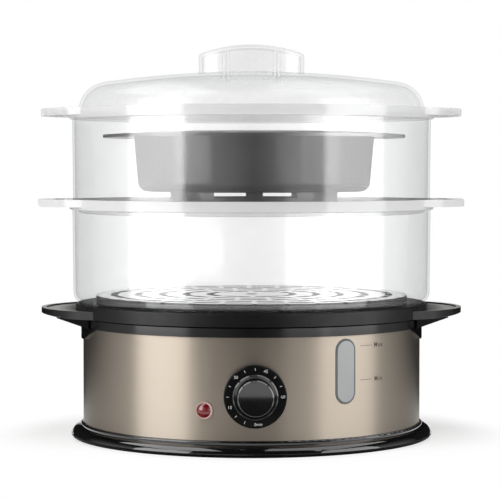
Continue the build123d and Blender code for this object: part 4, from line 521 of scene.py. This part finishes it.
FINISHES = {
    "steel_band": lambda: brushed_band("champagne steel", (0.385, 0.334, 0.277, 1.0)),
    "black_gloss": lambda: moulded_plastic("gloss black", grey(0.004), 0.06, GLOSS_DEPTH, coat=0.8),
    "black_satin": lambda: moulded_plastic("satin black", NEAR_BLACK, 0.16, SATIN_DEPTH),
    "housing_plastic": lambda: moulded_plastic("tank plastic", (0.55, 0.55, 0.53, 1.0), 0.35),
    "grille_plastic": lambda: moulded_plastic(
        "grille plastic", (0.02, 0.02, 0.021, 1.0), 0.08, GLOSS_DEPTH, coat=0.6
    ),
    "window_plastic": lambda: moulded_plastic("window plastic", (0.36, 0.37, 0.37, 1.0), 0.12),
    "lamp_red": lambda: lens_plastic(
        "lamp red", (0.15, 0.003, 0.005, 1.0), (LAMP_CENTRE.z, LAMP_TURN, 4.4 * MM)
    ),
    "neon_glass": lambda: lens_plastic("neon glass", (0.75, 0.55, 0.45, 1.0)),
    "rubber_black": lambda: moulded_plastic("black rubber", grey(0.018), 0.6, 0.04 * MM),
    "seal_grey": lambda: moulded_plastic("grey seal", (0.09, 0.10, 0.10, 1.0), 0.4),
    "sheet_steel": lambda: turned_metal("sheet steel", (0.62, 0.62, 0.63, 1.0), 0.3),
    "screw_steel": lambda: turned_metal("screw steel", (0.50, 0.50, 0.52, 1.0), 0.28),
    "heater_aluminium": lambda: turned_metal("heater aluminium", (0.72, 0.73, 0.74, 1.0), 0.35),
    "element_steel": lambda: turned_metal("element steel", (0.42, 0.40, 0.38, 1.0), 0.35),
    "brass": lambda: turned_metal("brass", (0.78, 0.60, 0.30, 1.0), 0.25),
    "phenolic": lambda: moulded_plastic("brown phenolic", (0.10, 0.045, 0.022, 1.0), 0.35),
    "white_ceramic": lambda: moulded_plastic("white ceramic", (0.82, 0.81, 0.78, 1.0), 0.25),
    "natural_nylon": lambda: moulded_plastic("natural nylon", (0.78, 0.76, 0.70, 1.0), 0.35),
    "wire_brown": lambda: moulded_plastic("brown wire", (0.16, 0.065, 0.025, 1.0), 0.4),
    "wire_blue": lambda: moulded_plastic("blue wire", (0.03, 0.12, 0.45, 1.0), 0.4),
}
_made = {}


def finish(slot):
    """The finish of a material slot, made once."""
    if slot not in _made:
        _made[slot] = FINISHES[slot]()
    return _made[slot]


# ---------------------------------------------------------------- pieces


def new_object(name, shape, material):
    """Turns a bmesh into an object in the scene."""
    mesh = bpy.data.meshes.new(name)
    shape.to_mesh(mesh)
    shape.free()
    mesh.materials.append(material)
    made = bpy.data.objects.new(name, mesh)
    bpy.context.scene.collection.objects.link(made)
    return made


def new_print(name, marks, material, body):
    """Makes a print from the marks that a function adds to a bmesh, and lets it ride on a body."""
    shape = bmesh.new()
    marks(shape)
    piece = new_object(name, shape, material)
    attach(piece, body)


def words(shape, text, size, place):
    """Adds flat print: text facing -Y at the origin, set on a surface by the matrix place."""
    curve = bpy.data.curves.new("print", "FONT")
    curve.body = text
    curve.size = size
    curve.align_x = "CENTER"
    curve.align_y = "CENTER"
    curve.extrude = PRINT_DEPTH / 2
    curve.offset = size * 0.004
    holder = bpy.data.objects.new("print", curve)
    bpy.context.scene.collection.objects.link(holder)
    bpy.context.view_layer.update()
    mesh = bpy.data.meshes.new_from_object(holder.evaluated_get(bpy.context.evaluated_depsgraph_get()))
    mesh.transform(place @ Matrix.Rotation(math.pi / 2, 4, "X"))
    shape.from_mesh(mesh)
    bpy.data.objects.remove(holder)
    bpy.data.curves.remove(curve)
    bpy.data.meshes.remove(mesh)


def bar(shape, width, height, place):
    """Adds a small flat bar, width along X and height along Z, set by the matrix place."""
    made = bmesh.ops.create_cube(shape, size=1.0)["verts"]
    bmesh.ops.scale(shape, vec=(width, PRINT_DEPTH, height), verts=made)
    edges = dict.fromkeys(edge for vert in made for edge in vert.link_edges)
    bevel = bmesh.ops.bevel(
        shape,
        geom=[e for e in edges if abs(e.verts[0].co.y - e.verts[1].co.y) > PRINT_DEPTH / 2],
        offset=min(width, height) * 0.3,
        affect="EDGES",
        segments=2,
        profile=0.5,
        material=-1,
    )
    moved = dict.fromkeys([*bevel["verts"], *(vert for vert in made if vert.is_valid)])
    bmesh.ops.transform(shape, matrix=place, verts=list(moved))


def on_dial(radius, degrees):
    """A place on the dial's face, turned clockwise from the bottom as the user sees it."""
    a = math.radians(degrees)
    right, up = -radius * math.sin(a), -radius * math.cos(a)
    return Vector((DIAL_CENTRE.x + right, DIAL_FACE - PRINT_LIFT, DIAL_CENTRE.z + up))


def on_band(degrees, height):
    """A place and turn on the band's face, by its angle round from the front towards +X."""
    turn = Matrix.Rotation(math.radians(degrees), 4, "Z")
    return turn @ Matrix.Translation((0.0, -BAND_RADIUS - PRINT_LIFT, height))


def size_property(name, description, default):
    """A length that a user may change."""
    return FloatProperty(name=name, description=description, default=default, unit="LENGTH", precision=4)


def colour_property(name, description, default):
    """A colour that a user may change."""
    return FloatVectorProperty(
        name=name, description=description, default=default, subtype="COLOR", size=4, min=0.0, max=1.0
    )


class SteamerShape(PropertyGroup):
    """Sizes and colours of the dressed pieces."""

    mark_radius: size_property(
        "Mark radius", "How far from the dial's middle its marks stand", DIAL_RADIUS * 0.87
    )
    number_size: size_property("Number size", "Height of a line of the dial's numbers", 2.7 * MM)
    word_size: size_property("Level word size", "Height of a line of the words at the window", 4.2 * MM)
    print_colour: colour_property(
        "Dial print", "Colour of the dial's marks and numbers", (0.62, 0.62, 0.61, 1.0)
    )
    level_colour: colour_property(
        "Level print", "Colour of the level lines and words on the band", (0.07, 0.05, 0.04, 1.0)
    )


def power_property(name, description, default):
    """The power of a light that a user may change."""
    return FloatProperty(name=name, description=description, default=default, unit="POWER")


class SteamerStudio(PropertyGroup):
    """Camera and lights."""

    distance: FloatProperty(
        name="Camera distance",
        description="Level distance from the steamer's axis",
        default=1.36025,
        unit="LENGTH",
    )
    height: FloatProperty(
        name="Camera height", description="Height above the table", default=0.17977, unit="LENGTH"
    )
    turn: FloatProperty(
        name="Camera turn", description="Turn round the steamer", default=math.radians(1.15), subtype="ANGLE"
    )
    pitch: FloatProperty(
        name="Camera pitch", description="How far the camera looks down", default=0.04048, subtype="ANGLE"
    )
    lens: FloatProperty(name="Lens", description="Focal length in millimetres", default=146.1)
    key_power: power_property("Left light", "Power of the left softbox", 7.6)
    fill_power: power_property("Right light", "Power of the right softbox", 6.1)
    front_power: power_property("Front panel", "Power of the dim panel right of the camera", 0.38)
    card_power: power_property("Knob card", "Power of the card that the knob's cap mirrors", 0.0025)


# ---------------------------------------------------------------- operators


class STEAMER_OT_finishes(Operator):
    """Gives every CAD piece its finish"""

    bl_idname = "steamer.finishes"
    bl_label = "Finishes"

    def execute(self, context):
        for part in frame["record"]["subparts"]:
            piece = NODES[part["node"]]
            piece.data.materials.clear()
            own = OWN_FINISHES.get(part["node"])
            piece.data.materials.append(own() if own else finish(part["material_slot"]))
        return {"FINISHED"}


class STEAMER_OT_dial_marks(Operator):
    """Prints the timer's ticks and numbers on the dial plate"""

    bl_idname = "steamer.dial_marks"
    bl_label = "Dial marks"

    def execute(self, context):
        shape = context.scene.steamer_shape

        def marks(mesh):
            for step in range(1, max(DIAL_NUMBERS) + 1):
                degrees = TICK_STEP * step
                place = Matrix.Translation(on_dial(shape.mark_radius, degrees))
                if step in DIAL_NUMBERS:
                    words(mesh, DIAL_NUMBERS[step], shape.number_size, place)
                else:
                    bar(mesh, *TICK, place @ Matrix.Rotation(math.radians(degrees), 4, "Y"))
            zero = on_dial(shape.mark_radius, 0.0) + Vector((ZERO_WORD_SHIFT, 0.0, 0.0))
            words(mesh, "0min", shape.number_size * ZERO_WORD_SCALE, Matrix.Translation(zero))

        new_print("dial_marks", marks, print_ink("dial print", shape.print_colour), "base")
        return {"FINISHED"}


class STEAMER_OT_level_marks(Operator):
    """Prints the lines and words for the highest and lowest water level beside the window"""

    bl_idname = "steamer.level_marks"
    bl_label = "Level marks"

    def execute(self, context):
        shape = context.scene.steamer_shape

        def marks(mesh):
            for word, height, offsets in LEVELS:
                for part in range(LINE_PARTS):
                    bar(mesh, *LINE_PART, on_band(LINE_START + LINE_STEP * part, height))
                for letter, offset in zip(word, offsets):
                    along = math.degrees(offset * MM / BAND_RADIUS)
                    words(mesh, letter, shape.word_size, on_band(WORD_TURN + along, height))

        new_print("level_marks", marks, print_ink("level print", shape.level_colour), "base")
        return {"FINISHED"}


class STEAMER_OT_studio(Operator):
    """Sets the pale floor, the white surroundings, the lights and the camera"""

    bl_idname = "steamer.studio"
    bl_label = "Studio"

    def execute(self, context):
        studio = context.scene.steamer_studio
        powers = (studio.key_power, studio.fill_power, studio.front_power)
        set_floor()
        set_surroundings(context.scene)
        for (name, degrees, height, size), power in zip(BOXES, powers):
            a = math.radians(degrees)
            place = (BOX_DISTANCE * math.sin(a), -BOX_DISTANCE * math.cos(a), height)
            set_light(name, place, size, (math.pi / 2, 0.0, a), power)
        for (name, place, size), power in zip(TOP_LIGHTS, powers):
            set_light(name, place, size, FACING_DOWN, power * TOP_SHARE)
        set_light(*CARD, UPRIGHT, studio.card_power)
        set_camera(context.scene, studio)
        context.scene.view_settings.view_transform = "Standard"
        context.scene.cycles.transparent_max_bounces = CLEAR_LAYERS
        return {"FINISHED"}


def room_glow(tree, way):
    """How bright the dim room looks in gloss: darkest in front, lighter to the sides, dark behind."""
    front = spread(tree, maths(tree, "ABSOLUTE", way["X"]), 0.0, 1.0, 0.12, 1.2)
    back = spread(tree, way["Y"], -0.2, 0.65, 1.0, 0.02)
    return maths(tree, "MULTIPLY", front, back)


def seen_straight(tree, path):
    """1 for what the camera sees itself, past or through the steamer."""
    return maths(tree, "MAXIMUM", path["Is Camera Ray"], path["Is Transmission Ray"])


def set_floor():
    """A round pale floor that keeps the steamer's shadow and fades into the surroundings; a painted shadow
    mask sets where that shadow shows, near the foot and behind it.
    """
    material, tree, out = empty_material("studio floor")
    place = object_place(tree)
    reach = length(tree, place)
    path = put(tree, "ShaderNodeLightPath").outputs

    tint = blend_colours(tree, noise(tree, place, 4.0, 2.0), grey(0.90), grey(0.93))
    paper = put(tree, "ShaderNodeBsdfDiffuse", {"Color": tint})
    white = put(tree, "ShaderNodeEmission", {"Color": WHITE, "Strength": 1.0})
    # Painted shadow mask: near the foot and behind it less white glow, so the lit paper and its real shadow
    # show darker there.
    close = spread(tree, reach, *SHADOW_FADES, 0.75, 0.0, smooth=True)
    behind = spread(tree, apart(tree, place)["Y"], *SHADOW_TO_BACK, 0.12, 1.0)
    pale = maths(tree, "SUBTRACT", 1.0, maths(tree, "MULTIPLY", close, behind))
    lit = blend_shaders(tree, maths(tree, "MULTIPLY", seen_straight(tree, path), pale), paper, white)

    way = apart(tree, vector_maths(tree, "NORMALIZE", place)["Vector"])
    far = spread(tree, reach, *ROOM_GROWS, 0.08, 0.6, smooth=True)
    bright = spread(tree, reach, *BRIGHT_FADES, 1.1, 0.0, smooth=True)
    past_foot = spread(tree, reach, *PAST_FOOT, smooth=True)
    table = maths(
        tree,
        "MAXIMUM",
        maths(tree, "MULTIPLY", room_glow(tree, way), far),
        maths(tree, "MULTIPLY", bright, past_foot),
    )
    mirrored = put(tree, "ShaderNodeEmission", {"Color": WHITE, "Strength": table})
    body = blend_shaders(tree, path["Is Glossy Ray"], lit, mirrored)
    tree.links.new(body.outputs[0], out.inputs["Surface"])

    shape = bmesh.new()
    bmesh.ops.create_circle(shape, cap_ends=True, segments=128, radius=FLOOR_RADIUS)
    floor = new_object("studio_floor", shape, material)


def set_surroundings(scene):
    """White all round for the camera; gloss sees a dim room, with one bright patch far behind."""
    world = bpy.data.worlds.new("studio")
    scene.world = world
    world.use_nodes = True
    tree = world.node_tree
    tree.nodes.clear()
    out = tree.nodes.new("ShaderNodeOutputWorld")
    path = put(tree, "ShaderNodeLightPath").outputs
    way = apart(tree, put(tree, "ShaderNodeTexCoord").outputs["Generated"])
    behind = spread(tree, way["Y"], 0.985, 0.995, 0.0, 1.0, smooth=True)
    low = spread(tree, way["Z"], 0.3, 0.6, 1.0, 0.03)
    glow = maths(tree, "MAXIMUM", maths(tree, "MULTIPLY", room_glow(tree, way), low), behind)

    def background(strength):
        return put(tree, "ShaderNodeBackground", {"Color": WHITE, "Strength": strength})

    glossy = blend_shaders(tree, path["Is Glossy Ray"], background(FILL_STRENGTH), background(glow))
    whole = blend_shaders(tree, seen_straight(tree, path), glossy, background(1.0))
    tree.links.new(whole.outputs[0], out.inputs["Surface"])


def set_light(name, place, size, turn, power):
    """A rectangle of light that the camera doesn't see, facing down before its turn."""
    lamp = bpy.data.lights.new(name, "AREA")
    lamp.shape = "RECTANGLE"
    lamp.size, lamp.size_y = size
    lamp.energy = power
    holder = bpy.data.objects.new(name, lamp)
    holder.location = place
    holder.rotation_euler = turn
    holder.visible_camera = False
    bpy.context.scene.collection.objects.link(holder)


def set_camera(scene, studio):
    """The camera at the fitted place, with nothing shifted."""
    camera = bpy.data.objects.new("camera", bpy.data.cameras.new("camera"))
    camera.data.sensor_width = 36.0
    camera.data.lens = studio.lens
    camera.data.clip_start = 0.05
    sine, cosine = math.sin(studio.turn), math.cos(studio.turn)
    centred = Vector((-studio.distance * sine, -studio.distance * cosine, studio.height))
    right = Vector((cosine, -sine, 0.0))
    camera.location = centred - right * MM
    camera.rotation_euler = (math.pi / 2 - studio.pitch, 0.0, -studio.turn)
    scene.collection.objects.link(camera)
    scene.camera = camera


class STEAMER_PT_panel(Panel):
    """Lists the steamer's sizes and the steps that dress it"""

    bl_idname = "STEAMER_PT_panel"
    bl_label = "Steamer"
    bl_space_type = "VIEW_3D"
    bl_region_type = "UI"
    bl_category = "Steamer"

    def draw(self, context):
        for group in (context.scene.steamer_shape, context.scene.steamer_studio):
            box = self.layout.box()
            for name in group.bl_rna.properties.keys():
                if name not in ("rna_type", "name"):
                    box.prop(group, name)
        for step in STEPS:
            self.layout.operator(step.bl_idname)


STEPS = (STEAMER_OT_finishes, STEAMER_OT_dial_marks, STEAMER_OT_level_marks, STEAMER_OT_studio)
CLASSES = (SteamerShape, SteamerStudio) + STEPS + (STEAMER_PT_panel,)


def register():
    for each in CLASSES:
        bpy.utils.register_class(each)
    bpy.types.Scene.steamer_shape = PointerProperty(type=SteamerShape)
    bpy.types.Scene.steamer_studio = PointerProperty(type=SteamerStudio)


def unregister():
    del bpy.types.Scene.steamer_studio
    del bpy.types.Scene.steamer_shape
    for each in reversed(CLASSES):
        bpy.utils.unregister_class(each)


def main():
    register()
    for step in STEPS:
        group, name = step.bl_idname.split(".")
        getattr(getattr(bpy.ops, group), name)()


if __name__ == "__main__":
    main()
